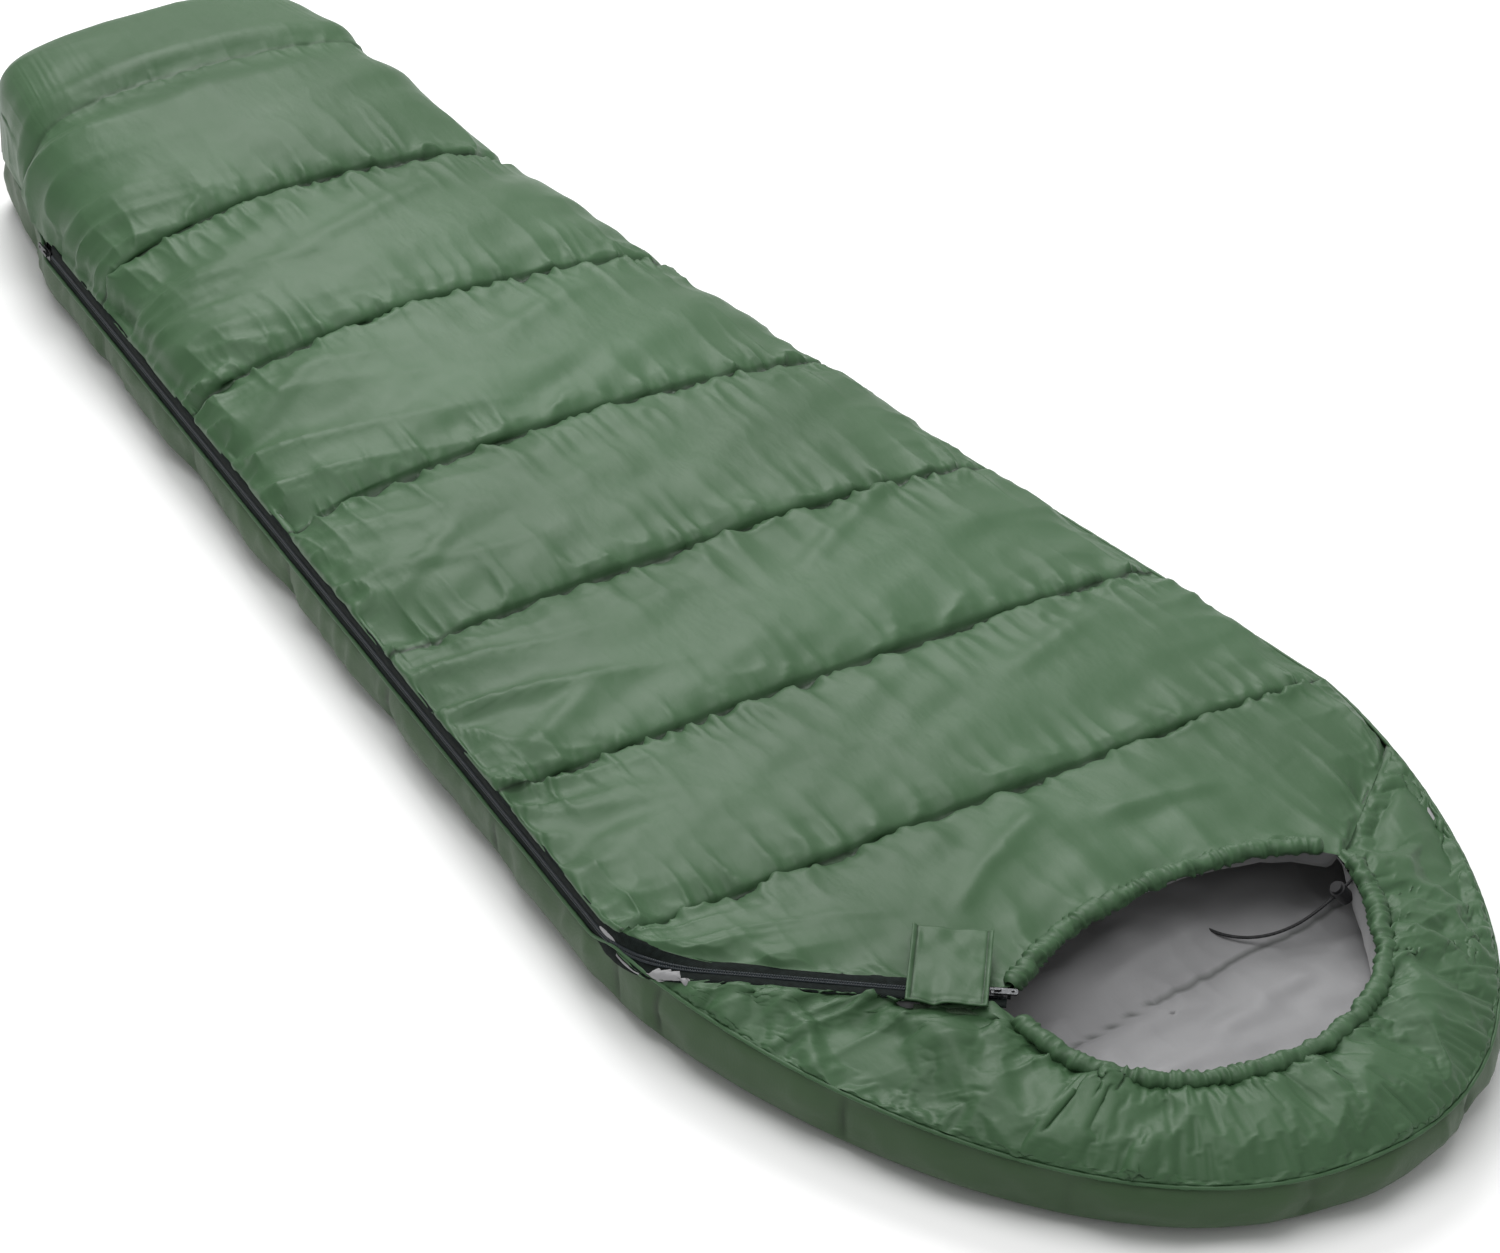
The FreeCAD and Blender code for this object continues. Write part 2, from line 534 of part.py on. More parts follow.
def make_tab():
    samples = [TAB_FROM, (TAB_FROM + TAB_TO) / 2.0, TAB_TO]
    hinge_out = max(surface_out(s, TAB_HINGE_ACROSS) for s in samples) + TAB_HINGE_CLEAR
    hood_out = max(surface_out(s, a) for s in samples for a in (TAB_FREE_ACROSS, TAB_LIP_ACROSS))
    lip = hood_out + 2.0 * PATCH_THICK + 2.0 * PATCH_CLEAR + PATCH_GAP
    under = [(TAB_HINGE_ACROSS, hinge_out), (TAB_RAMP_ACROSS, TAB_LIFT), (-TAPE_OUTER, TAB_LIFT)]
    under += [(TAB_LIP_ACROSS, lip), (TAB_FREE_ACROSS, lip)]
    over = [(a, o + TAB_THICK) for a, o in reversed(under)]
    keep("closure_tab", profile_block(under + over, TAB_FROM, TAB_TO))
    lips = (TAB_FREE_ACROSS + 1.0, TAB_LIP_ACROSS - 1.0)
    reach = (TAB_FROM + PATCH_INSET, TAB_TO - PATCH_INSET)
    low = hood_out + PATCH_CLEAR
    for name in ("hook_patch", "loop_patch"):
        keep(name, frame_box(cross, reach, lips, (low, low + PATCH_THICK)))
        low += PATCH_THICK + PATCH_GAP
    print("tab hinge", cross.at(0.0, TAB_HINGE_ACROSS, hinge_out + TAB_THICK / 2.0), "axis", cross.along)


# --- Hems, drawcord and cord lock ---------------------------------------------

def tube_along(path, outer, inner):
    shape = rim_tube(path, outer)
    return shape.cut(rim_tube(path, inner)) if inner else shape


def cord_route():
    """Points of the drawcord's free end, from its eyelet over the rim down to the lining."""
    return [V(*p) for p in CORD_POINTS]


def cord_wire(points):
    """Straight runs joined by tangent arcs, each arc as large as its two runs allow."""
    edges = []
    start = points[0]
    for before, corner, after in zip(points, points[1:], points[2:]):
        back = (before - corner)
        ahead = (after - corner)
        reach = 0.45 * min(back.Length, ahead.Length)
        back.normalize()
        ahead.normalize()
        half_turn = (math.pi - back.getAngle(ahead)) / 2.0
        radius = reach / math.tan(half_turn)
        print("cord arc radius", round(radius, 1))
        arc_start = corner + back * reach
        arc_end = corner + ahead * reach
        bisector = (back + ahead).normalize()
        arc_middle = corner + bisector * (radius / math.cos(half_turn) - radius)
        edges.append(Part.LineSegment(start, arc_start).toShape())
        edges.append(Part.Arc(arc_start, arc_middle, arc_end).toShape())
        start = arc_end
    edges.append(Part.LineSegment(start, points[-1]).toShape())
    return Part.Wire(edges)


def make_cord():
    points = cord_route()
    wire = cord_wire(points)
    first = (points[1] - points[0]).normalize()
    last = (points[-1] - points[-2]).normalize()
    circle = Part.Wire(Part.makeCircle(CORD_R, points[0], first))
    cord = wire.makePipeShell([circle], True, True)
    full = math.pi * CORD_R ** 2 * wire.Length
    print("cord length", round(wire.Length, 1), "volume ratio", round(cord.Volume / full, 4))
    keep("drawcord_tail", cord)
    keep("cord_end_cap", Part.makeCylinder(CAP_R, CAP_LENGTH, points[-1] + last * 0.05, last))
    return points[0], first


def make_lock(exit_point, direction):
    """Spring cord lock on the drawcord's first run. Its barrel stands upright."""
    centre = exit_point + direction * LOCK_OFFSET
    up = (V(0, 0, 1) - direction * direction.z).normalize()
    side_way = up.cross(direction)
    past = direction * LOCK_BORE_HALF
    bore = Part.makeCylinder(LOCK_BORE_R, 2.0 * LOCK_BORE_HALF, centre - past, direction)
    barrel = Part.makeCylinder(LOCK_R, LOCK_LOW + LOCK_HIGH, centre - up * LOCK_LOW, up)
    cavity_low = LOCK_LOW - LOCK_FLOOR
    cavity = Part.makeCylinder(LOCK_CAVITY_R, LOCK_LOW + LOCK_HIGH, centre - up * cavity_low, up)
    keep("cord_lock_body", barrel.cut([cavity, bore]))
    plunger_r = LOCK_CAVITY_R - PLUNGER_CLEAR
    plunger = Part.makeCylinder(plunger_r, PLUNGER_LOW + PLUNGER_HIGH, centre - up * PLUNGER_LOW, up)
    bore_pressed = bore.copy()
    bore_pressed.translate(up * PLUNGER_TRAVEL)
    slot = Part.makeBox(2.0 * LOCK_BORE_HALF, 2.0 * LOCK_BORE_R, PLUNGER_TRAVEL)
    slot_turn = FreeCAD.Rotation(direction, side_way, up, "XYZ")
    slot.Placement = FreeCAD.Placement(centre - past - side_way * LOCK_BORE_R, slot_turn)
    keep("cord_lock_plunger", plunger.cut([bore, bore_pressed, slot]))
    base = cavity_low - SPRING_CLEAR - SPRING_WIRE_R
    height = base - PLUNGER_LOW - SPRING_CLEAR - SPRING_WIRE_R
    steps = int(SPRING_TURNS * SPRING_STEPS_PER_TURN)
    turns = [2.0 * math.pi * k / SPRING_STEPS_PER_TURN for k in range(steps + 1)]
    points = [V(SPRING_R * math.cos(a), SPRING_R * math.sin(a), height * a / turns[-1]) for a in turns]
    coil = Part.BSplineCurve()
    coil.interpolate(Points=points)
    wire_circle = Part.Wire(Part.makeCircle(SPRING_WIRE_R, points[0], coil.tangent(coil.FirstParameter)[0]))
    spring = Part.Wire(coil.toShape()).makePipeShell([wire_circle], True, True)
    spring.Placement = FreeCAD.Placement(centre - up * base, FreeCAD.Rotation(V(0, 0, 1), up))
    keep("cord_lock_spring", spring)
    print("lock centre", centre, "up", up, "spring base", centre - up * base)


def make_hems():
    chin_path = [rim_point(p) for p in CHIN_HEM]
    hood_path = [rim_point(p) for p in HOOD_HEM]
    start = V(*CORD_POINTS[0])
    way_out = (V(*CORD_POINTS[1]) - start).normalize()
    exit_hole = Part.makeCylinder(CORD_R + HOLE_CLEAR, HOLE_LENGTH, start - way_out * HOLE_BACK, way_out)
    keep("chin_hem", tube_along(chin_path, HEM_R, HEM_BORE_R))
    keep("hood_hem", tube_along(hood_path, HEM_R, HEM_BORE_R).cut(exit_hole))
    keep("chin_elastic", tube_along(chin_path, CORD_R, 0))
    keep("hood_drawcord", tube_along(hood_path, CORD_R, 0))


make_quilts()
make_side_welt()
make_zip_rows()
make_slider("main_slider", cross, CROSS_RUN - MAIN_SLIDER_BACK, 1)
make_slider("foot_slider", side, FOOT_SLIDER_AT, -1)
make_tab()
make_hems()
make_lock(*make_cord())
os.makedirs(PARTS, exist_ok=True)
for name, shape in NODES.items():
    shape.exportStep(os.path.join(PARTS, name + ".step"))
    print(name, len(shape.Solids), round(shape.Volume / 1000.0, 2), "cm3", shape.isValid())
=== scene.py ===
import math

import bpy
import numpy as np
from mathutils import Matrix, Vector


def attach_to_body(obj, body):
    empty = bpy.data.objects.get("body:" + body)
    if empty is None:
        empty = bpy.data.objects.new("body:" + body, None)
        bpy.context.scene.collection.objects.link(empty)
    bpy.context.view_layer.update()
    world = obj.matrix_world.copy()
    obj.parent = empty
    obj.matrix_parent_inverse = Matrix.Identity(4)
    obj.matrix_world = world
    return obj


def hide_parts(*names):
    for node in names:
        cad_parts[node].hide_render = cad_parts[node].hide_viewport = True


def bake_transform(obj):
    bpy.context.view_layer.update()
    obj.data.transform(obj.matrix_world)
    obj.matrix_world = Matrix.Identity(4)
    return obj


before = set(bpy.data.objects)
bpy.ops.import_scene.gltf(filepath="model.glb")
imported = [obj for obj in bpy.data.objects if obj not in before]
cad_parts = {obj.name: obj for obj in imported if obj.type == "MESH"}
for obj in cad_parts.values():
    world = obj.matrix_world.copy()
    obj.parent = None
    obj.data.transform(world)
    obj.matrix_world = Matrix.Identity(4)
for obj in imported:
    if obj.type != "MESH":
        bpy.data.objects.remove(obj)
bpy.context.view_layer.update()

# Mummy sleeping bag, laid flat and zipped shut, in metres. +Y runs from the head end to the foot end, and
# the zip is on the -X side. Every sheet of fabric is a grid of points, rows along the bag and columns across.

# Outline and heights, as in the CAD frame
HEAD_Y, FOOT_Y, SHOULDER_Y = -1.05, 1.05, -0.5
SHOULDER_HALF = 0.408
ZIP_FOOT_Y, ZIP_FOOT_HALF = 0.823, 0.234
FOOT_LEFT_HALF, FOOT_RIGHT_HALF = 0.163, 0.177
SEAM_AT_SHOULDER, SEAM_AT_HEAD, SEAM_SLOPE = 0.079, 0.060, -0.009 / 1.166
CROWN_AT_SHOULDER, FOOTBOX_CROWN = 0.098, 0.190
FOOT_ROUND_FROM = 0.925

# The outline is a rounded oblong: powers of the width, of the hood's length, and of the foot end's length
SIDE_POWER, HOOD_POWER, FOOT_POWER = 2.2, 1.64, 16.0

# Quilting: stitched lines across the top, and how far the channels between them rise
CHANNEL = 0.2333
QUILT_LINES = [SHOULDER_Y + CHANNEL * k for k in range(7)]
SEAM_DIP, PUFF = 0.009, 0.012
QUILT_THICK, HOOD_THICK, BASE_LINING_Z = 0.023, 0.028, 0.0265
FILL_OUT_LIMIT, HOOD_FILL_OUT_LIMIT, CLOTH_GROWTH = 0.012, 0.014, 0.035

# Gathers, each a list of (wavelength, reach, height)
SEAM_GATHERS = [(0.012, 0.016, 0.0034), (0.024, 0.034, 0.0062), (0.048, 0.060, 0.0044)]  # at a stitched line
ZIP_GATHERS = [(0.016, 0.026, 0.0036), (0.032, 0.070, 0.0088), (0.058, 0.130, 0.0080)]  # beside the zip
FAR_GATHERS = [(0.020, 0.018, 0.0018), (0.036, 0.050, 0.0034), (0.070, 0.100, 0.0034)]  # at the far side seam
CHIN_GATHERS = [(0.013, 0.020, 0.0034), (0.026, 0.050, 0.0066), (0.055, 0.095, 0.0060)]  # at the chin hem
FOOT_GATHERS = [(0.030, 0.030, 0.0014), (0.060, 0.070, 0.0020)]  # at the foot end
RIM_GATHERS = [(0.012, 0.016, 0.0030), (0.024, 0.042, 0.0060), (0.050, 0.100, 0.0070)]  # at the hood hem
# at the hood's side seam
HOOD_SEAM_GATHERS = [(0.018, 0.015, 0.0012), (0.040, 0.045, 0.0028), (0.085, 0.090, 0.0036)]
HOOD_END_GATHERS = [(0.014, 0.012, 0.0012), (0.030, 0.035, 0.0020)]  # at the hood's end seam
BAND_GATHERS = [(0.016, 0.018, 0.0022), (0.033, 0.036, 0.0040), (0.070, 0.06, 0.0040)]  # on the side band
LINING_GATHERS = [(0.014, 0.012, 0.0012), (0.030, 0.035, 0.0022)]  # at the lining's seam

# Zip path: a side run, a bend at the shoulder, and a run across the hood
ZIP_BEND_Y = -0.470
CROSS_START, CROSS_END = (-0.368, -0.585), (-0.172, -0.7526)
ZIP_STANDOFF = 0.0045
TAPE_EDGE, TAPE_OVERLAP = 0.0150, 0.0125
TOOTH_PITCH = 0.0022

# Face opening
CORNER_LEFT, CORNER_RIGHT = (-0.176, -0.762), (0.219, -0.742)
CHIN_HEM = [(-0.160, -0.741), (-0.080, -0.706), (0.025, -0.689), (0.125, -0.692), (0.190, -0.713),
            (0.209, -0.728)]
LOWER_EDGE = [(0.212, -0.785), (0.183, -0.840), (0.128, -0.902), (0.025, -0.940)]
LOWER_EDGE += [(-0.090, -0.925), (-0.162, -0.872), (-0.182, -0.812)]
HOOD_HEM = [(0.220, -0.754)] + LOWER_EDGE + [(-0.181, -0.780)]
RIM_Z_AT_CHIN, RIM_SLOPE, CHIN_Y = 0.099, 0.035, -0.690
HOOD_SEAM_END = (0.3945, -0.610)
HEM_WIDE, HEM_HIGH = 0.0100, 0.0080

# Opening flap: the two ends of its fold line
FOLD_FOOT, FOLD_HEAD = Vector((-0.233, 0.823, 0.176)), Vector((0.226, -0.738, 0.122))

# Free end of the hood's drawcord
CORD_POINTS = [(0.2145, -0.7660, 0.0910), (0.1803, -0.7624, 0.0620), (0.1440, -0.7455, 0.0385)]
CORD_POINTS += [(0.1130, -0.7190, 0.0315), (0.1020, -0.6780, 0.0305), (0.1190, -0.6390, 0.0305)]
CORD_LENGTH, CORD_DIAMETER = 0.2142, 0.003

# Thread spacing of the woven fabrics
THREAD_PITCH = 0.0009

# Camera
CAMERA_AT = Vector((-2.6956, -3.5949, 3.0025))
CAMERA_YAW, CAMERA_PITCH, CAMERA_ROLL = math.radians(37.87), math.radians(33.79), math.radians(4.449)
SENSOR, LENS = 36.0, 131.9


# --- Small maths --------------------------------------------------------------

def mix(a, b, t):
    return a + (b - a) * t


def smooth(t):
    t = np.clip(t, 0.0, 1.0)
    return t * t * (3.0 - 2.0 * t)


def unit(v):
    return v / np.maximum(np.linalg.norm(v, axis=-1, keepdims=True), 1e-12)


def bell(distance, width):
    return np.exp(-(distance / width) ** 2)


def clear_of(*edges):
    """0 on each of some edges and 1 away from them. Each edge is (distance from it, width of the change)."""
    total = 1.0
    for distance, width in edges:
        total = total * (1.0 - bell(distance, width))
    return total


class Noise:
    """Smooth random field of two coordinates, from -1 to 1, the same on each run."""

    def __init__(self, seed):
        self.table = np.random.RandomState(seed).uniform(-1.0, 1.0, (256, 256))

    def __call__(self, a, b):
        i, j = np.floor(a).astype(int), np.floor(b).astype(int)
        u, v = smooth(a - i), smooth(b - j)
        corner = lambda p, q: self.table[p % 256, q % 256]
        low = mix(corner(i, j), corner(i + 1, j), u)
        high = mix(corner(i, j + 1), corner(i + 1, j + 1), u)
        return mix(low, high, v)

    def ridge(self, a, b):
        """Sharp creases with round ground between them, from -1 to 1."""
        return 1.0 - 2.0 * np.abs(self(a, b)) ** 0.7


def puckers(noise, along, away, sizes):
    """Gathers that start at a stitched line. along runs down the line, away is the distance from it, and each
    of sizes is a (wavelength, reach, height)."""
    total = np.zeros(np.broadcast(along, away).shape)
    for k, (wave, reach, height) in enumerate(sizes):
        field = noise.ridge(along / wave + 31.7 * k, away / (2.2 * reach) + 11.3 * k)
        total = total + height * field * np.exp(-away / reach)
    return total


# --- Shape of the bag -----------------------------------------------------------

def hood_u(y):
    return np.clip((SHOULDER_Y - y) / (SHOULDER_Y - HEAD_Y), 0.0, 1.0)


def hood_taper(y):
    return (1.0 - hood_u(y) ** HOOD_POWER) ** (1.0 / SIDE_POWER)


def body_left(y):
    upper = mix(SHOULDER_HALF, ZIP_FOOT_HALF, np.clip((y - SHOULDER_Y) / (ZIP_FOOT_Y - SHOULDER_Y), 0.0, 1.0))
    lower = mix(ZIP_FOOT_HALF, FOOT_LEFT_HALF, (y - ZIP_FOOT_Y) / (FOOT_Y - ZIP_FOOT_Y))
    return np.where(y > ZIP_FOOT_Y, lower, upper)


def body_right(y):
    t = np.clip((y - SHOULDER_Y) / (FOOT_Y - SHOULDER_Y), 0.0, 1.0)
    return SHOULDER_HALF - 0.138 * t - (SHOULDER_HALF - 0.138 - FOOT_RIGHT_HALF) * t * t


def seam_height(y):
    hood = mix(SEAM_AT_SHOULDER, SEAM_AT_HEAD, hood_u(y))
    return np.where(y < SHOULDER_Y, hood, SEAM_AT_SHOULDER + SEAM_SLOPE * (y - SHOULDER_Y))


def crown_height(y):
    t = np.maximum((y - SHOULDER_Y) / 0.583, 0.0)
    return np.minimum(CROWN_AT_SHOULDER + 0.003 * t + 0.016 * t * t, FOOTBOX_CROWN) + 0.004 * hood_u(y)


def foot_v(y):
    return np.clip((y - FOOT_ROUND_FROM) / (FOOT_Y - FOOT_ROUND_FROM), 0.0, 1.0)


def dome(x, y):
    """Height of the top over a point of the plan, without its quilting."""
    left, right = body_left(y), body_right(y)
    reach = np.abs(x - (right - left) / 2.0) / ((right + left) / 2.0)
    rho = reach ** SIDE_POWER + hood_u(y) ** HOOD_POWER + foot_v(y) ** FOOT_POWER
    square = mix(0.34, 0.09, smooth((y - 0.60) / 0.38))
    edge = (1.0 - np.minimum(rho, 1.0) ** 0.909) ** square
    crown = crown_height(y) - 0.012 * smooth((y - 0.90) / 0.15)
    return seam_height(y) + (crown - seam_height(y)) * edge


def rim_height(y):
    return RIM_Z_AT_CHIN + RIM_SLOPE * (y - CHIN_Y)


def rounded(points, per_span=24):
    """A smooth line through a few points, as an array."""
    p = np.array(points, float)
    p = np.vstack([2 * p[0] - p[1], p, 2 * p[-1] - p[-2]])
    t = np.linspace(0.0, 1.0, per_span, endpoint=False)[:, None]
    line = []
    for a, b, c, d in zip(p, p[1:], p[2:], p[3:]):
        line.append(0.5 * (2 * b + (c - a) * t + (2 * a - 5 * b + 4 * c - d) * t ** 2
                           + (3 * b - a - 3 * c + d) * t ** 3))
    return np.vstack(line + [p[-2:-1]])


def lengths(line):
    steps = np.linalg.norm(np.diff(line, axis=0), axis=1)
    return np.concatenate([[0.0], np.cumsum(steps)])


def resample(line, count):
    run = lengths(line)
    at = np.linspace(0.0, run[-1], count)
    return np.stack([np.interp(at, run, line[:, k]) for k in range(line.shape[1])], axis=1)


# --- Zip path ---------------------------------------------------------------------

def zip_path():
    """The zip's middle line from foot to head, with its directions along it, towards the flap, and out."""
    side_y = np.linspace(ZIP_FOOT_Y, ZIP_BEND_Y, 400)
    side = np.stack([-body_left(side_y) - ZIP_STANDOFF + 0.0015, side_y, seam_height(side_y)], axis=1)
    ends = []
    for x, y in (CROSS_START, CROSS_END):
        ends.append(np.array([x, y, float(dome(np.array(x), np.array(y))) + ZIP_STANDOFF]))
    cross = mix(ends[0], ends[1], np.linspace(0.0, 1.0, 90)[:, None])
    reach = 0.36 * np.linalg.norm(ends[0] - side[-1])
    poles = [side[-1], side[-1] + unit(side[-1] - side[-2]) * reach]
    poles += [ends[0] - unit(ends[1] - ends[0]) * reach, ends[0]]
    t = np.linspace(0.0, 1.0, 44)[1:-1, None]
    shares = [(1 - t) ** 3, 3 * t * (1 - t) ** 2, 3 * t * t * (1 - t), t ** 3]
    bend = sum(share * pole for share, pole in zip(shares, poles))
    points = np.vstack([side, bend, cross])
    turn = np.concatenate([np.zeros(len(side)), t[:, 0], np.ones(len(cross))])[:, None]
    along = unit(np.gradient(points, axis=0))
    across = mix(np.array([0.0, 0.0, 1.0]), np.array([0.65, 0.76, 0.0]), turn)
    across = unit(across - along * (across * along).sum(1, keepdims=True))
    count = int(lengths(points)[-1] / 0.004)
    run = lengths(points)
    at = np.linspace(0.0, run[-1], count)
    pick = lambda a: np.stack([np.interp(at, run, a[:, k]) for k in range(3)], axis=1)
    points, along, across = pick(points), unit(pick(along)), unit(pick(across))
    return points, along, across, np.cross(along, across)


ZIP, ZIP_ALONG, ZIP_ACROSS, ZIP_OUT = zip_path()


def beside_zip(across, out):
    return ZIP + ZIP_ACROSS * across + ZIP_OUT * out


# --- Grids into meshes --------------------------------------------------------------

def grid_normals(p, closed=False):
    if closed:
        du = np.roll(p, -1, axis=1) - np.roll(p, 1, axis=1)
    else:
        du = np.gradient(p, axis=1)
    return unit(np.cross(np.gradient(p, axis=0), du))


def arc(p, axis):
    """Distance along a grid's rows or columns, from its first line."""
    step = np.linalg.norm(np.diff(p, axis=axis), axis=2)
    start = np.zeros_like(np.take(step, [0], axis=axis))
    return np.concatenate([start, np.cumsum(step, axis=axis)], axis=axis)


def refine(p):
    """The same sheet with twice the rows and columns."""
    for axis in (0, 1):
        p = np.moveaxis(p, axis, 0)
        ends = np.concatenate([2 * p[:1] - p[1:2], p, 2 * p[-1:] - p[-2:-1]])
        middle = (9 * (p[:-1] + p[1:]) - ends[:-3] - ends[3:]) / 16.0
        fine = np.empty((2 * len(p) - 1,) + p.shape[1:])
        fine[0::2], fine[1::2] = p, middle
        p = np.moveaxis(fine, 0, axis)
    return p


def attach(p, line, target, reach):
    """Moves one edge of a sheet onto a target, and lets the sheet beside it follow. line is ("first" or
    "last", 0 for rows or 1 for columns)."""
    which, axis = line
    run = arc(p, axis)
    if which == "last":
        run = np.take(run, [-1], axis=axis) - run
    index = 0 if which == "first" else -1
    shift = target - np.take(p, index, axis=axis)
    return p + np.expand_dims(shift, axis) * bell(run, reach)[..., None]


def grid_faces(rows, columns, closed=False):
    wide = columns if closed else columns - 1
    i, j = np.meshgrid(np.arange(rows - 1), np.arange(wide), indexing="ij")
    k = (j + 1) % columns
    here, below = i * columns, (i + 1) * columns
    return np.stack([here + j, here + k, below + k, below + j], axis=-1).reshape(-1, 4)


def mesh_object(name, points, faces, material, body="root", slot=None, fields=None):
    mesh = bpy.data.meshes.new(name)
    mesh.from_pydata([tuple(v) for v in points.tolist()], [], faces.tolist())
    mesh.polygons.foreach_set("use_smooth", [True] * len(mesh.polygons))
    for field, values in (fields or {}).items():
        made = mesh.attributes.new(field, "FLOAT", "POINT")
        made.data.foreach_set("value", np.ravel(values).astype(np.float32))
    mesh.materials.append(material)
    mesh.update()
    obj = bpy.data.objects.new(name, mesh)
    bpy.context.scene.collection.objects.link(obj)
    if body:
        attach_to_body(obj, body)
    return obj


def outward_share(p, faces):
    """Positive if a closed surface's faces look out of it."""
    corners = p.reshape(-1, 3)[faces[:, :3]]
    return np.einsum("ij,ij->", corners[:, 0], np.cross(corners[:, 1], corners[:, 2]))


def sheet_object(name, p, material, flip=False, closed=False, tube=False, **more):
    rows, columns = p.shape[:2]
    faces = grid_faces(rows, columns, closed)
    if flip or (tube and outward_share(p, faces) < 0.0):
        faces = faces[:, ::-1]
    return mesh_object(name, p.reshape(-1, 3), faces, material, **more)


def tube_grid(line, ring):
    """A tube along a line. ring is an array of (side, up) offsets for each point of the line."""
    along = unit(np.gradient(line, axis=0))
    side = unit(np.cross(along, np.array([0.0, 0.0, 1.0])))
    up = np.cross(side, along)
    return line[:, None] + side[:, None] * ring[..., :1] + up[:, None] * ring[..., 1:]


def blend_with_flap(obj):
    """For fabric over the fold line: bakes the object's placement into its mesh; the fold line's run in plan
    is worked out but not used.
    """
    run = FOLD_HEAD - FOLD_FOOT
    run.z = 0.0
    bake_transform(obj)


# --- Materials -------------------------------------------------------------------------

def node(tree, kind, **settings):
    made = tree.nodes.new(kind)
    for name, value in settings.items():
        if name in made.inputs:
            made.inputs[name].default_value = value
        else:
            setattr(made, name, value)
    return made


def ramp(tree, source, stops):
    made = tree.nodes.new("ShaderNodeValToRGB")
    while len(made.color_ramp.elements) < len(stops):
        made.color_ramp.elements.new(0.5)
    for element, (at, colour) in zip(made.color_ramp.elements, stops):
        element.position = at
        element.color = (*colour, 1.0)
    tree.links.new(source, made.inputs["Fac"])
    return made.outputs["Color"]


def maths(tree, operation, a, b):
    made = tree.nodes.new("ShaderNodeMath")
    made.operation = operation
    for socket, value in zip(made.inputs, (a, b)):
        if isinstance(value, (int, float)):
            socket.default_value = value
        else:
            tree.links.new(value, socket)
    return made.outputs[0]


def new_material(name, **sockets):
    material = bpy.data.materials.new(name)
    material.use_nodes = True
    tree = material.node_tree
    shader = tree.nodes["Principled BSDF"]
    for socket, value in sockets.items():
        shader.inputs[socket].default_value = value
    place = tree.nodes.new("ShaderNodeTexCoord").outputs["Object"]
    return material, tree, shader, place


def texture(tree, place, kind, scale, turn=0.0, **settings):
    mapping = tree.nodes.new("ShaderNodeMapping")
    mapping.inputs["Rotation"].default_value = (0.0, 0.0, turn)
    mapping.inputs["Scale"].default_value = scale if isinstance(scale, tuple) else (scale,) * 3
    tree.links.new(place, mapping.inputs["Vector"])
    made = node(tree, kind, **settings)
    tree.links.new(mapping.outputs["Vector"], made.inputs["Vector"])
    return made.outputs[0]


def crossed_waves(tree, place, turns, directions, scale):
    """Two sets of waves that cross, as in woven threads or a braid."""
    waves = [texture(tree, place, "ShaderNodeTexWave", 1.0, turn=turn, bands_direction=direction, Scale=scale)
             for turn, direction in zip(turns, directions)]
    return maths(tree, "MULTIPLY", *waves)


def weave(tree, place):
    """Plain weave: threads across and along."""
    return crossed_waves(tree, place, (0.0, 0.0), "XY", 1.0 / (THREAD_PITCH * 20.0) * 6.283)


def colour_from(tree, shader, source, stops):
    tree.links.new(ramp(tree, source, stops), shader.inputs["Base Color"])


def gloss_from(tree, shader, source, low, spread):
    """Roughness that goes from low to low + spread."""
    tree.links.new(maths(tree, "ADD", low, maths(tree, "MULTIPLY", source, spread)),
                   shader.inputs["Roughness"])


def add_bump(tree, shader, layers):
    """Each layer is (height socket, strength, distance in metres)."""
    normal = None
    for height, strength, distance in layers:
        bump = node(tree, "ShaderNodeBump", Strength=strength, Distance=distance)
        tree.links.new(height, bump.inputs["Height"])
        if normal is not None:
            tree.links.new(normal, bump.inputs["Normal"])
        normal = bump.outputs["Normal"]
    tree.links.new(normal, shader.inputs["Normal"])


def fabric(name, dark, middle, light, roughness, sheen, crease=1.0):
    """Thin woven cloth: its colour drifts slowly, is darkened by painted shade along stitched lines and in
    pleat valleys where its shade attribute says, and its gloss is uneven.
    """
    material, tree, shader, place = new_material(name)
    shader.inputs["Sheen Weight"].default_value = sheen
    shader.inputs["Sheen Roughness"].default_value = 0.4
    shader.inputs["Specular IOR Level"].default_value = 0.26
    drift = texture(tree, place, "ShaderNodeTexNoise", (3.0, 3.0, 3.0), Scale=1.0, Detail=3.0, Roughness=0.55)
    colour = ramp(tree, drift, [(0.30, dark), (0.5, middle), (0.72, light)])
    # Painted shade: the shade attribute multiplies the colour by a dark green along stitched lines and in
    # pleat valleys.
    stitched = tree.nodes.new("ShaderNodeAttribute")
    stitched.attribute_name = "shade"
    darken = node(tree, "ShaderNodeMix", data_type="RGBA", blend_type="MULTIPLY")
    tree.links.new(stitched.outputs["Fac"], darken.inputs["Factor"])
    tree.links.new(colour, darken.inputs[6])
    darken.inputs[7].default_value = (0.16, 0.19, 0.16, 1.0)
    tree.links.new(darken.outputs[2], shader.inputs["Base Color"])
    cloudy = texture(tree, place, "ShaderNodeTexNoise", (9.0, 14.0, 9.0), Scale=1.0, Detail=4.0,
                     Roughness=0.6)
    gloss_from(tree, shader, cloudy, roughness - 0.09, 0.18)
    threads = weave(tree, place)
    rumple = texture(tree, place, "ShaderNodeTexNoise", (55.0, 26.0, 40.0), turn=0.35, Scale=1.0, Detail=3.0,
                     Roughness=0.5)
    slub = texture(tree, place, "ShaderNodeTexNoise", (900.0, 120.0, 300.0), Scale=1.0, Detail=2.0)
    add_bump(tree, shader, [(rumple, 0.28 * crease, 0.0030), (slub, 0.12, 0.0003), (threads, 0.30, 0.00025)])
    return material


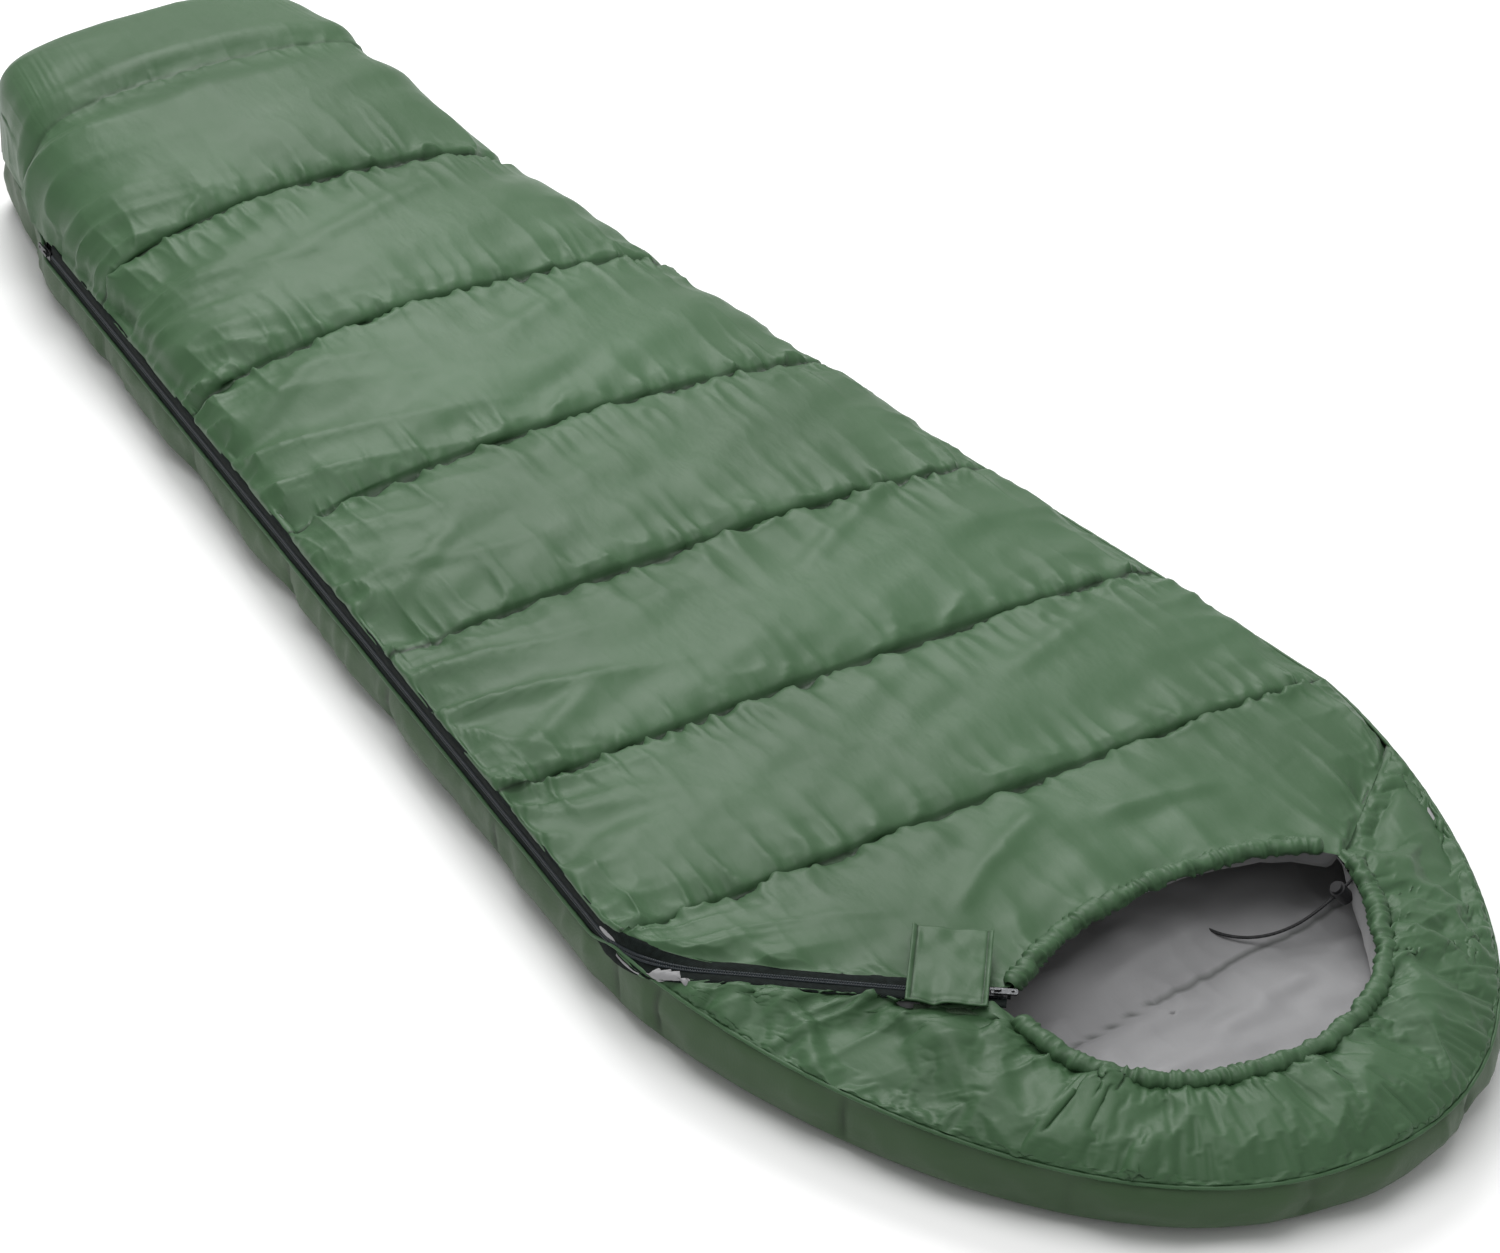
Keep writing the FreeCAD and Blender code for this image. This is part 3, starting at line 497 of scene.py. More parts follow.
def shell_material():
    return fabric("green_shell", (0.033, 0.077, 0.033), (0.040, 0.090, 0.040), (0.048, 0.104, 0.049), 0.45,
                  0.02)


# The same green cloth as the top, made darker and more olive for the side band and underside: painted shade.
def base_material():
    return fabric("base_shell", (0.029, 0.060, 0.025), (0.035, 0.070, 0.030), (0.043, 0.080, 0.036), 0.48,
                  0.02)


def lining_material():
    return fabric("grey_lining", (0.19, 0.19, 0.195), (0.23, 0.23, 0.235), (0.27, 0.27, 0.275), 0.55, 0.2,
                  0.8)


def tape_material():
    material, tree, shader, place = new_material("zip_tape_black",
                                                 **{"Roughness": 0.8, "Specular IOR Level": 0.12})
    rib = texture(tree, place, "ShaderNodeTexWave", 1.0, bands_direction="Y", Scale=160.0)
    tone = texture(tree, place, "ShaderNodeTexNoise", 220.0, Scale=1.0, Detail=3.0)
    colour_from(tree, shader, tone, [(0.3, (0.002, 0.004, 0.003)), (0.7, (0.006, 0.010, 0.009))])
    add_bump(tree, shader, [(rib, 0.5, 0.0003), (tone, 0.3, 0.0002)])
    return material


def coil_material():
    material, tree, shader, place = new_material("zip_coil_nylon", Roughness=0.34)
    shader.inputs["Specular IOR Level"].default_value = 0.3
    tone = texture(tree, place, "ShaderNodeTexNoise", 400.0, Scale=1.0, Detail=2.0)
    colour_from(tree, shader, tone, [(0.3, (0.004, 0.007, 0.009)), (0.7, (0.012, 0.019, 0.024))])
    add_bump(tree, shader, [(tone, 0.2, 0.0001)])
    return material


def metal_material():
    material, tree, shader, place = new_material("zip_slider_metal", Metallic=0.9)
    wear = texture(tree, place, "ShaderNodeTexNoise", 600.0, Scale=1.0, Detail=5.0, Roughness=0.65)
    colour_from(tree, shader, wear,
                [(0.35, (0.035, 0.037, 0.038)), (0.58, (0.07, 0.072, 0.075)), (0.75, (0.30, 0.30, 0.31))])
    gloss_from(tree, shader, wear, 0.22, 0.3)
    add_bump(tree, shader, [(wear, 0.15, 0.0002)])
    return material


def plastic_material():
    material, tree, shader, place = new_material("lock_plastic_black")
    grain = texture(tree, place, "ShaderNodeTexNoise", 2500.0, Scale=1.0, Detail=3.0)
    colour_from(tree, shader, grain, [(0.3, (0.010, 0.010, 0.011)), (0.7, (0.020, 0.020, 0.022))])
    gloss_from(tree, shader, grain, 0.25, 0.15)
    add_bump(tree, shader, [(grain, 0.15, 0.0001)])
    return material


def cord_material():
    material, tree, shader, place = new_material("cord_braid", Roughness=0.62)
    braid = crossed_waves(tree, place, (0.78, -0.78), "XX", 260.0)
    colour_from(tree, shader, braid, [(0.1, (0.008, 0.008, 0.009)), (0.8, (0.035, 0.036, 0.038))])
    add_bump(tree, shader, [(braid, 0.7, 0.0004)])
    return material


def patch_material():
    material, tree, shader, place = new_material("hook_and_loop_green", Roughness=0.85)
    fuzz = texture(tree, place, "ShaderNodeTexVoronoi", 900.0, Scale=1.0)
    colour_from(tree, shader, fuzz, [(0.1, (0.030, 0.060, 0.030)), (0.7, (0.070, 0.12, 0.065))])
    add_bump(tree, shader, [(fuzz, 0.8, 0.0006)])
    return material


def floor_material():
    material, tree, shader, place = new_material("studio_floor", Roughness=0.85)
    shade = texture(tree, place, "ShaderNodeTexNoise", 0.4, Scale=1.0, Detail=2.0)
    colour_from(tree, shader, shade, [(0.2, (0.86, 0.86, 0.86)), (0.8, (0.90, 0.90, 0.90))])
    return material


SHELL, BASE, LINING = shell_material(), base_material(), lining_material()
TAPE, COIL, METAL = tape_material(), coil_material(), metal_material()
PLASTIC, CORD, PATCH = plastic_material(), cord_material(), patch_material()


# --- Top cover: flap, fixed top and footbox in one run of cloth ------------------------------

COLUMNS, SECTION_ROWS, FOOT_ROWS = 141, 30, 22


def head_edge():
    """Upper edge of the hood side: beside the zip, round the chin, then down the hood's own seam."""
    start = np.searchsorted(-ZIP[:, 1], 0.505)
    beside = beside_zip(TAPE_OVERLAP, 0.001)[start:]
    beside = beside[beside[:, 0] < -0.172]
    chin = rounded(CHIN_HEM)
    chin = np.column_stack([chin, rim_height(chin[:, 1])])
    seam = mix(np.array([CORNER_RIGHT]), np.array([HOOD_SEAM_END]), np.linspace(0.02, 1.0, 30)[:, None])
    seam = np.column_stack([seam, dome(seam[:, 0], seam[:, 1]) - SEAM_DIP * 0.8])
    seam[:, 2] = mix(rim_height(seam[:, 1]), seam[:, 2], smooth((seam[:, 0] - CORNER_RIGHT[0]) / 0.04))
    return np.vstack([beside, chin, seam])


def section_steps(rows):
    """Row places from one stitched line to the next, closer together near the stitching."""
    t = np.linspace(0.0, 1.0, rows + 1)
    return t - 0.07 * np.sin(2.0 * math.pi * t)


def top_plan():
    """Plan of the top cover's grid, with each point's place in its channel, the row of each stitched line, and
    the head edge."""
    a = np.linspace(0.0, math.pi, COLUMNS)
    a = a - 0.10 * np.sin(2.0 * a)
    side_way = -np.cos(a)
    v = (1.0 - np.abs(side_way) ** SIDE_POWER) ** (1.0 / FOOT_POWER)
    foot = FOOT_ROUND_FROM + (FOOT_Y - FOOT_ROUND_FROM) * v
    across = lambda y: (body_right(y) - body_left(y)) / 2.0 + (body_right(y) + body_left(y)) / 2.0 * side_way
    shoulder_x = across(np.full(COLUMNS, SHOULDER_Y))
    edge = head_edge()
    narrow = mix(1.0, HOOD_SEAM_END[0] / SHOULDER_HALF, smooth((shoulder_x - 0.2) / 0.2))
    head_x = np.where(shoulder_x > 0.2, shoulder_x * narrow, shoulder_x)
    head_x = np.clip(head_x, edge[0, 0], edge[-1, 0])
    head_y = np.interp(head_x, edge[:, 0], edge[:, 1])
    head_z = np.interp(head_x, edge[:, 0], edge[:, 2])
    lines = [foot] + [np.full(COLUMNS, y) for y in reversed(QUILT_LINES)] + [head_y]
    xs, ys, places, stitched = [], [], [], []
    for k, (start, end) in enumerate(zip(lines, lines[1:])):
        rows = FOOT_ROWS if k == 0 else SECTION_ROWS
        steps = section_steps(rows)
        if k == 0:
            steps = 1.0 - (1.0 - np.linspace(0.0, 1.0, rows + 1) ** 1.6)
        for t in steps[(0 if k == 0 else 1):]:
            y = mix(start, end, t)
            xs.append(across(y) if k < len(lines) - 2 else mix(shoulder_x, head_x, t))
            ys.append(y)
            places.append(np.full(COLUMNS, k + t))
        stitched.append(len(xs) - 1)
    return np.array(xs), np.array(ys), np.array(places), stitched[:-1], (head_x, head_y, head_z)


def channel_swell(place):
    """How full the quilting stands, from 0 on a stitched line to 1 in the middle of a channel."""
    t = place - np.floor(place)
    t = np.where(place >= 7.999, 1.0, t)
    return (1.0 - np.abs(2.0 * t - 1.0) ** 2.6) ** 0.55


SOFT_FOLDS = [(11, 0.30, 0.34, 0.060, 0.0034), (12, 0.18, 0.20, 0.034, 0.0019),
              (13, 0.45, 0.15, 0.026, 0.0013)]


def wrinkles(x, y):
    """Long soft folds that run mostly across the bag and a little askew."""
    total = np.zeros_like(x)
    for seed, turn, length, width, height in SOFT_FOLDS:
        u = x * math.cos(turn) + y * math.sin(turn)
        v = -x * math.sin(turn) + y * math.cos(turn)
        total += height * Noise(seed)(u / length, v / width)
    return total


def strokes(x, y, folds):
    """Given folds: each is (x0, y0, x1, y1, half width, height) in plan."""
    total = np.zeros_like(x)
    for x0, y0, x1, y1, width, height in folds:
        dx, dy = x1 - x0, y1 - y0
        t = ((x - x0) * dx + (y - y0) * dy) / (dx * dx + dy * dy)
        near = np.clip(t, 0.0, 1.0)
        away = np.hypot(x - x0 - near * dx, y - y0 - near * dy)
        total += height * bell(away, width) * smooth(1.6 * (1.0 - np.abs(2.0 * near - 1.0)) + 0.15)
    return total


def simulate(obj, pinned, pressure, frames, limit):
    """Cloth run on a sheet: the pinned points hold, the rest fills out by up to limit. Returns its points."""
    group = obj.vertex_groups.new(name="pinned")
    for weight in np.unique(pinned[pinned > 0.0]):
        group.add(np.nonzero(pinned == weight)[0].tolist(), float(weight), "REPLACE")
    before = np.array([v.co for v in obj.data.vertices])
    cloth = obj.modifiers.new("cloth", "CLOTH")
    cloth.settings.quality = 5
    cloth.settings.mass = 0.25
    cloth.settings.tension_stiffness = cloth.settings.compression_stiffness = 25.0
    cloth.settings.shear_stiffness = 8.0
    cloth.settings.bending_stiffness = 0.35
    cloth.settings.tension_damping = cloth.settings.compression_damping = 12.0
    cloth.settings.air_damping = 4.0
    cloth.settings.use_pressure = True
    cloth.settings.uniform_pressure_force = pressure
    cloth.settings.shrink_min = -CLOTH_GROWTH
    cloth.settings.vertex_group_mass = "pinned"
    cloth.settings.pin_stiffness = 1.0
    cloth.settings.effector_weights.gravity = 0.0
    cloth.collision_settings.use_collision = False
    cloth.point_cache.frame_start, cloth.point_cache.frame_end = 1, frames
    scene = bpy.context.scene
    for k in range(1, frames + 1):
        scene.frame_set(k)
    shown = obj.evaluated_get(bpy.context.evaluated_depsgraph_get())
    after = np.array([v.co for v in shown.data.vertices])
    scene.frame_set(1)
    move = after - before
    far = np.linalg.norm(move, axis=1, keepdims=True)
    return before + move * np.minimum(1.0, limit / np.maximum(far, 1e-9))


def filled_out(p, pinned, pressure, frames, limit, flip):
    draft = sheet_object("cloth_draft", p, SHELL, flip=flip, body=None)
    settled = simulate(draft, pinned.ravel(), pressure, frames, limit).reshape(p.shape)
    bpy.data.objects.remove(draft)
    return settled


def make_top():
    x, y, place, stitched, head = top_plan()
    swell = channel_swell(place)
    foot_panel = place < 1.0
    p = np.stack([x, y, dome(x, y)], axis=2)
    left_run = arc(p, 1)
    right_run = left_run[:, -1:] - left_run
    foot_run, head_run = arc(p, 0), arc(p, 0)[-1:] - arc(p, 0)
    edge_fade = clear_of((left_run, 0.05), (right_run, 0.045)) * mix(0.45, 1.0, smooth(right_run / 0.26))
    lift = np.where(foot_panel, 0.007 + 0.006 * swell * bell(foot_run - 0.09, 0.1),
                    -SEAM_DIP + (SEAM_DIP + 0.6 * PUFF) * swell)
    near_line = np.abs(place - np.round(place)) * CHANNEL
    lift = np.where(np.abs(place - 1.0) < 0.5, mix(-0.004, lift, smooth(near_line / 0.05)), lift)
    n = grid_normals(p)
    p = p + n * (lift * edge_fade * (1.0 - bell(head_run, 0.02)))[..., None]
    target = np.stack(head, axis=1)
    p = attach(p, ("last", 0), target, 0.035)
    side = beside_zip(TAPE_OVERLAP, 0.001)
    on_zip = (y[:, 0] < ZIP_FOOT_Y) & (y[:, 0] > head[1][0] + 0.004)
    left_target = p[:, 0].copy()
    order = np.argsort(side[:, 1])
    for k in range(3):
        left_target[on_zip, k] = np.interp(y[on_zip, 0], side[order, 1], side[order, k])
    fade = smooth((ZIP_FOOT_Y + 0.03 - y[:, 0]) / 0.05)[:, None]
    left_target = mix(p[:, 0], left_target, fade)
    p = attach(p, ("first", 1), left_target, 0.02)
    pinned = np.zeros(p.shape[:2])
    pinned[:, :2] = pinned[:, -2:] = 1.0
    pinned[:2] = pinned[-2:] = 1.0
    for row in stitched[1:]:
        pinned[row] = 1.0
    pinned[stitched[0]] = 0.6
    lining = p
    p = filled_out(p, pinned, 1.0, 16, FILL_OUT_LIMIT, True)

    fields = refine(np.stack([x, y, place], axis=2))
    x, y, place = fields[..., 0], fields[..., 1], fields[..., 2]
    p = refine(p)
    run, down = arc(p, 1), arc(p, 0)
    from_right, from_head = run[:, -1:] - run, down[-1:] - down
    line = np.round(place)
    away = np.abs(place - line) * CHANNEL
    away = np.where((line < 1) | (line > 7), 9.0, away)
    faint = np.where(line == 1, 0.3, 1.0)
    above = np.where(place > line, 0.0, 50.0)
    gathers = puckers(Noise(1), x + 3.0 * line + above, away, SEAM_GATHERS)
    rib = bell(away, 0.0045)
    disp = gathers * faint * (1.0 - 0.5 * rib) - 0.0022 * rib * faint
    disp += puckers(Noise(2), y + 0.25 * x, run, ZIP_GATHERS)
    disp += puckers(Noise(3), y, from_right, FAR_GATHERS)
    disp += puckers(Noise(4), x, from_head, CHIN_GATHERS)
    disp += puckers(Noise(5), x, down, FOOT_GATHERS)
    disp += wrinkles(x, y) * (0.4 + 0.6 * smooth(away / 0.05))
    disp += strokes(x, y, TOP_FOLDS)
    disp -= 0.0060 * bell(run - 0.010, 0.012) * smooth((ZIP_FOOT_Y - y) / 0.05)
    disp += 0.0110 * bell(run - 0.040, 0.030) * smooth((y - ZIP_FOOT_Y + 0.02) / 0.06)
    hold = clear_of((run, 0.006), (from_right, 0.006), (from_head, 0.005), (down, 0.006))
    p = p + grid_normals(p) * (disp * hold)[..., None]
    # Painted shade along the stitched lines, fainter on the first one.
    shade = bell(away, 0.0022) * np.where(line == 1, 0.35, 0.9)
    obj = sheet_object("top_quilt_cover", p, SHELL, flip=True, body=None, slot="green_shell_fabric",
                       fields={"shade": shade})
    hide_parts("top_flap_shell", "top_flap_fill", "top_quilt_shell", "top_quilt_fill", "footbox_shell",
                "footbox_fill")
    blend_with_flap(obj)

    run, down = arc(lining, 1), arc(lining, 0)
    edges = [run, run[:, -1:] - run, down, down[-1:] - down]
    inward = QUILT_THICK * clear_of(*[(edge, 0.009) for edge in edges])
    inner = lining - grid_normals(lining) * inward[..., None]
    middle = inner[1:-1, 1:-1]
    middle[..., 2] -= 0.0035 * np.abs(Noise(6)(middle[..., 0] / 0.03, middle[..., 1] / 0.05))
    under = sheet_object("top_quilt_lining", inner, LINING, body=None, slot="grey_lining",
                         fields={"shade": np.zeros(inner.shape[:2])})
    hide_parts("top_flap_liner", "top_quilt_liner", "footbox_liner")
    blend_with_flap(under)


TOP_FOLDS = [
    (-0.33, 0.02, -0.18, 0.10, 0.011, 0.004), (-0.31, 0.32, -0.16, 0.40, 0.012, 0.004),
    (-0.36, -0.25, -0.20, -0.17, 0.013, 0.004), (0.05, -0.13, 0.26, -0.02, 0.012, 0.004),
    (0.00, 0.34, 0.20, 0.40, 0.014, 0.004), (-0.10, 0.55, 0.14, 0.62, 0.013, 0.004),
    (0.10, -0.37, 0.32, -0.30, 0.014, 0.0035), (-0.08, -0.60, 0.02, -0.55, 0.012, 0.005),
    (0.05, -0.585, 0.20, -0.60, 0.012, 0.005), (-0.14, -0.635, -0.06, -0.585, 0.010, 0.004),
]


# --- Hood cover and its lining ---------------------------------------------------------------

HOOD_COLUMNS = 261
HOOD_ROWS = 46


def hood_outline(turn):
    """Plan of the hood's outline, as turn goes from 0 at the left shoulder to pi at the right one."""
    u = (np.sin(turn) ** 2) ** (1.0 / HOOD_POWER)
    x = -SHOULDER_HALF * np.sign(np.cos(turn)) * (np.cos(turn) ** 2) ** (1.0 / SIDE_POWER)
    return np.stack([x, SHOULDER_Y - u * (SHOULDER_Y - HEAD_Y)], axis=1)


def outline_hood(count):
    """Side seam round the hood, from the zip's bend round the head to the hood's own seam on the right."""
    plan = hood_outline(np.linspace(0.0, math.pi, 1200))
    line = np.column_stack([plan, seam_height(plan[:, 1])])
    line = line[(line[:, 0] < 0.0) | (line[:, 1] < HOOD_SEAM_END[1] + 0.003)]
    return resample(line, count)


def hood_inner_edge():
    """Inner edge of the hood: beside the zip, then round the face opening's lower edge to its right end."""
    start = np.searchsorted(-ZIP[:, 1], 0.500)
    beside = beside_zip(-TAPE_OVERLAP, 0.001)[start:]
    beside = beside[beside[:, 0] < -0.176]
    rim = rounded(list(reversed(HOOD_HEM)))
    rim = np.column_stack([rim, rim_height(rim[:, 1])])
    return beside, rim


def hood_grid():
    beside, rim = hood_inner_edge()
    outer = outline_hood(HOOD_COLUMNS)
    left = int(HOOD_COLUMNS * 0.19)
    inner = np.vstack([resample(beside, left + 1)[:-1], resample(rim, HOOD_COLUMNS - left)])
    t = np.linspace(0.0, 1.0, HOOD_ROWS)
    t = mix(t ** 1.9, t, t)
    plan = mix(outer[None, :, :2], inner[None, :, :2], t[:, None, None])
    x, y = plan[..., 0], plan[..., 1]
    p = np.stack([x, y, dome(x, y)], axis=2)
    return p, outer, inner, left


def make_hood():
    p, outer, inner, left = hood_grid()
    run = arc(p, 0)
    back = run[-1:] - run
    swell = clear_of((run, 0.045), (back, 0.05))
    along = arc(p, 1)
    from_seam = along[:, -1:] - along
    puff = 0.011 * swell * (1.0 - bell(from_seam, 0.03))
    p = p - grid_normals(p) * puff[..., None]
    p = attach(p, ("last", 0), inner, 0.035)
    tucked = np.array([CORNER_RIGHT[0], CORNER_RIGHT[1] + 0.006, inner[-1][2] - 0.003])
    seam = mix(outer[-1], tucked, np.linspace(0.0, 1.0, HOOD_ROWS)[:, None])
    seam[:, 2] = dome(seam[:, 0], seam[:, 1]) - SEAM_DIP * 0.8 - 0.002
    seam[:, 2] = mix(seam[:, 2], inner[-1][2], smooth((seam[:, 0] * -1.0 + CORNER_RIGHT[0] + 0.04) / 0.04))
    p = attach(p, ("last", 1), seam, 0.03)
    p = attach(p, ("first", 0), outer, 0.02)
    pinned = np.zeros(p.shape[:2])
    pinned[:2] = pinned[-2:] = 1.0
    pinned[:, :3] = pinned[:, -2:] = 1.0
    base = p
    p = filled_out(p, pinned, 1.4, 14, HOOD_FILL_OUT_LIMIT, False)
    p = refine(p)
    run, along = arc(p, 0), arc(p, 1)
    back, from_seam = run[-1:] - run, along[:, -1:] - along
    s = np.broadcast_to(along[:1], along.shape)
    rim_s = np.broadcast_to(along[-1:], along.shape)
    disp = puckers(Noise(21), rim_s, back, RIM_GATHERS)
    disp += puckers(Noise(22), s, run, HOOD_SEAM_GATHERS)
    disp += puckers(Noise(23), run, from_seam, HOOD_END_GATHERS)
    x, y = p[..., 0], p[..., 1]
    disp += 0.0030 * Noise(24)(x / 0.07, y / 0.07) + 0.0014 * Noise(25)(x / 0.03, y / 0.03)
    disp += strokes(x, y, HOOD_FOLDS)
    disp = np.where(disp < 0.0, disp * smooth(run / 0.10) * smooth(from_seam / 0.04), disp)
    hold = clear_of((run, 0.006), (back, 0.005), (from_seam, 0.005))
    p = p - grid_normals(p) * (disp * hold)[..., None]
    # Painted shade along the hood's end seam and, fainter, along its side seam.
    shade = 0.9 * np.maximum(bell(from_seam, 0.0025), 0.6 * bell(run, 0.002))
    obj = sheet_object("hood_cover", p, SHELL, slot="green_shell_fabric", fields={"shade": shade})
    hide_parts("hood_shell", "hood_fill")

    run, along = arc(base, 0), arc(base, 1)
    back = run[-1:] - run
    from_seam = along[:, -1:] - along
    depth = HOOD_THICK * clear_of((run, 0.012), (back, 0.012), (along, 0.030)) + 0.003
    depth *= 1.0 - 0.8 * bell(from_seam, 0.030)
    under = base + grid_normals(base) * depth[..., None]
    under[..., 2] -= 0.004 * bell(along, 0.06) + 0.002
    centre = np.array([0.02, -0.81, 0.0])
    toward = unit((centre - under) * np.array([1.0, 1.0, 0.0]))
    right = smooth((under[..., 0] + 0.05) / 0.2)
    right = right * (1.0 - bell(from_seam, 0.045))
    roll = 0.020 * bell(back - 0.022, 0.020) * right
    ripple = 0.0022 * Noise(26)(along / 0.02, back / 0.03) * (1.0 - bell(back, 0.01))
    under = under + toward * (roll + ripple)[..., None]
    under[..., 2] -= 0.008 * bell(back - 0.02, 0.016) * right
    lining = sheet_object("hood_lining", refine(under), LINING, flip=True, slot="grey_lining",
                          fields={"shade": np.zeros((2 * under.shape[0] - 1, 2 * under.shape[1] - 1))})
    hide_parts("hood_liner")


HOOD_FOLDS = [
    (-0.262, -0.985, -0.205, -0.950, 0.009, -0.008), (-0.205, -0.950, -0.120, -0.932, 0.012, -0.006),
    (-0.235, -0.985, -0.165, -0.952, 0.012, 0.008), (-0.290, -0.750, -0.225, -0.790, 0.012, 0.005),
    (-0.310, -0.830, -0.230, -0.850, 0.014, 0.004), (0.00, -1.00, 0.02, -0.955, 0.012, 0.004),
    (0.15, -0.97, 0.12, -0.92, 0.013, 0.004), (0.27, -0.90, 0.20, -0.86, 0.014, 0.004),
    (0.33, -0.78, 0.25, -0.775, 0.014, 0.004),
]


# --- Base: side band, underside and lining ------------------------------------------------------

LOOP_COUNT = 760
BAND_PROFILE = [(0.0, 1.0), (0.014, 0.5), (0.0, 0.0), (-0.046, 0.0)]
SPINE_HEAD_Y, SPINE_FOOT_Y = -0.78, 0.93


def outline_loop():
    """Side seam all the way round, from the middle of the foot end, up the zip side and round the head."""
    turn = np.linspace(0.0, math.pi / 2.0, 400)
    reach = (np.sin(turn) ** 2) ** (1.0 / SIDE_POWER)
    v = (np.cos(turn) ** 2) ** (1.0 / FOOT_POWER)
    y = FOOT_ROUND_FROM + v * (FOOT_Y - FOOT_ROUND_FROM)
    middle, half = (body_right(y) - body_left(y)) / 2.0, (body_right(y) + body_left(y)) / 2.0
    foot_left = np.stack([middle - half * reach, y], axis=1)
    foot_right = np.stack([middle + half * reach, y], axis=1)[::-1]
    y = np.linspace(FOOT_ROUND_FROM, SHOULDER_Y, 300)[1:]
    left = np.stack([-body_left(y), y], axis=1)
    right = np.stack([body_right(y), y], axis=1)[::-1]
    hood = hood_outline(np.linspace(0.0, math.pi, 900)[1:-1])
    line = np.vstack([foot_left, left, hood, right, foot_right])
    return resample(line, LOOP_COUNT + 1)[:-1]


def loop_frame():
    loop = outline_loop()
    along = unit(np.roll(loop, -1, axis=0) - np.roll(loop, 1, axis=0))
    out = np.stack([along[:, 1], -along[:, 0]], axis=1)
    if (out * (loop - loop.mean(0))).sum() < 0:
        out = -out
    step = np.linalg.norm(np.roll(loop, -1, axis=0) - loop, axis=1)
    return loop, out, np.concatenate([[0.0], np.cumsum(step)[:-1]])


def beside_zip_side(loop):
    """1 where the side seam runs under the zip, fading to 0 past the zip's two ends."""
    y = loop[:, 1]
    return (loop[:, 0] < 0.0) * smooth((ZIP_FOOT_Y + 0.02 - y) / 0.04) * smooth((y + 0.505) / 0.05)


def band_rings(rows):
    """Rings from the side seam down the side and in under the bag to its middle."""
    loop, out, run = loop_frame()
    zipped = beside_zip_side(loop)[:, None]
    seam = seam_height(loop[:, 1]) - TAPE_OVERLAP * zipped[:, 0]
    t = np.linspace(0.0, 1.0, rows)[:, None]
    ends = [3 * t * (1 - t) ** 2, 3 * t * t * (1 - t), t ** 3]
    first = (1 - t) ** 3
    outward = sum(w * pole[0] for w, pole in zip([first] + ends, BAND_PROFILE)) * np.ones_like(seam)
    outward = np.where(outward > 0.0, outward * mix(1.0, 0.1, smooth((loop[:, 1] - 0.78) / 0.10)), outward)
    outward += 0.0038 * zipped[:, 0] * (1.0 - t) ** 3
    height = sum(w * pole[1] for w, pole in zip([first] + ends, BAND_PROFILE)) * seam
    plan = loop[None] + out[None] * outward[..., None]
    return np.concatenate([plan, height[..., None]], axis=2), loop, out, run, t


def spine_of(loop):
    middle = (body_right(loop[:, 1]) - body_left(loop[:, 1])) / 2.0
    return np.stack([middle, np.clip(loop[:, 1], SPINE_HEAD_Y, SPINE_FOOT_Y)], axis=1)


def make_base():
    rows = 26
    band, loop, out, run, t = band_rings(rows)
    line_y = loop[:, 1]
    place = (line_y - SHOULDER_Y) / CHANNEL
    away = np.abs(place - np.round(place)) * CHANNEL
    away = np.where(line_y < SHOULDER_Y - 0.05, np.abs((run / 0.21) % 1.0 - 0.5) * 0.21, away)
    swell = 1.0 - bell(away, 0.035)
    wall = np.sin(np.clip(t / 0.62, 0.0, 1.0) * math.pi) ** 0.8
    side_n = np.concatenate([out, np.zeros((len(out), 1))], axis=1)
    down = arc(band, 0)
    disp = (0.0055 * swell - 0.004)[None] * wall
    disp = disp + wall * puckers(Noise(31), run[None] * np.ones_like(down), down, BAND_GATHERS)
    disp = disp + wall * (0.0025 * Noise(32)(run[None] / 0.045, down / 0.022))
    disp = disp - wall * 0.0045 * bell(away + 0.003 * Noise(33)(down / 0.02, run[None] / 0.1), 0.005)
    band = band + side_n[None] * disp[..., None]
    wave = Noise(34)(run / 0.11, run * 0.0)[None] * wall * np.linspace(0.0, 1.0, rows)[:, None]
    band[..., 2] += 0.004 * wave * (band[..., 2] > 0.02)
    spine = spine_of(loop)
    q = np.linspace(0.0, 1.0, 34)[1:, None, None]
    under = mix(band[-1:, :, :2], spine[None], q)
    channel = np.abs(((under[..., 1] - SHOULDER_Y) / CHANNEL + 0.5) % 1.0 - 0.5) * CHANNEL
    rumple = 1.0 + Noise(35)(under[..., 0] / 0.05, under[..., 1] / 0.05)
    lift = 0.005 * bell(channel, 0.012) + 0.001 * rumple
    lift *= smooth(q[..., 0] * 6.0)
    under = np.concatenate([under, lift[..., None]], axis=2)
    p = np.vstack([band, under])
    p[..., 2] = np.maximum(p[..., 2], 0.0)
    # Painted shade along the side band's stitched lines.
    shade = np.zeros(p.shape[:2])
    shade[:rows] = 0.8 * bell(away, 0.0018)[None] * wall
    obj = sheet_object("base_cover", p, BASE, closed=True, flip=True, slot="base_shell_fabric",
                       fields={"shade": shade})
    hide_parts("bottom_shell", "side_shell", "bottom_fill")
    make_base_lining(loop, out, spine)
    make_welt(band[0], out)


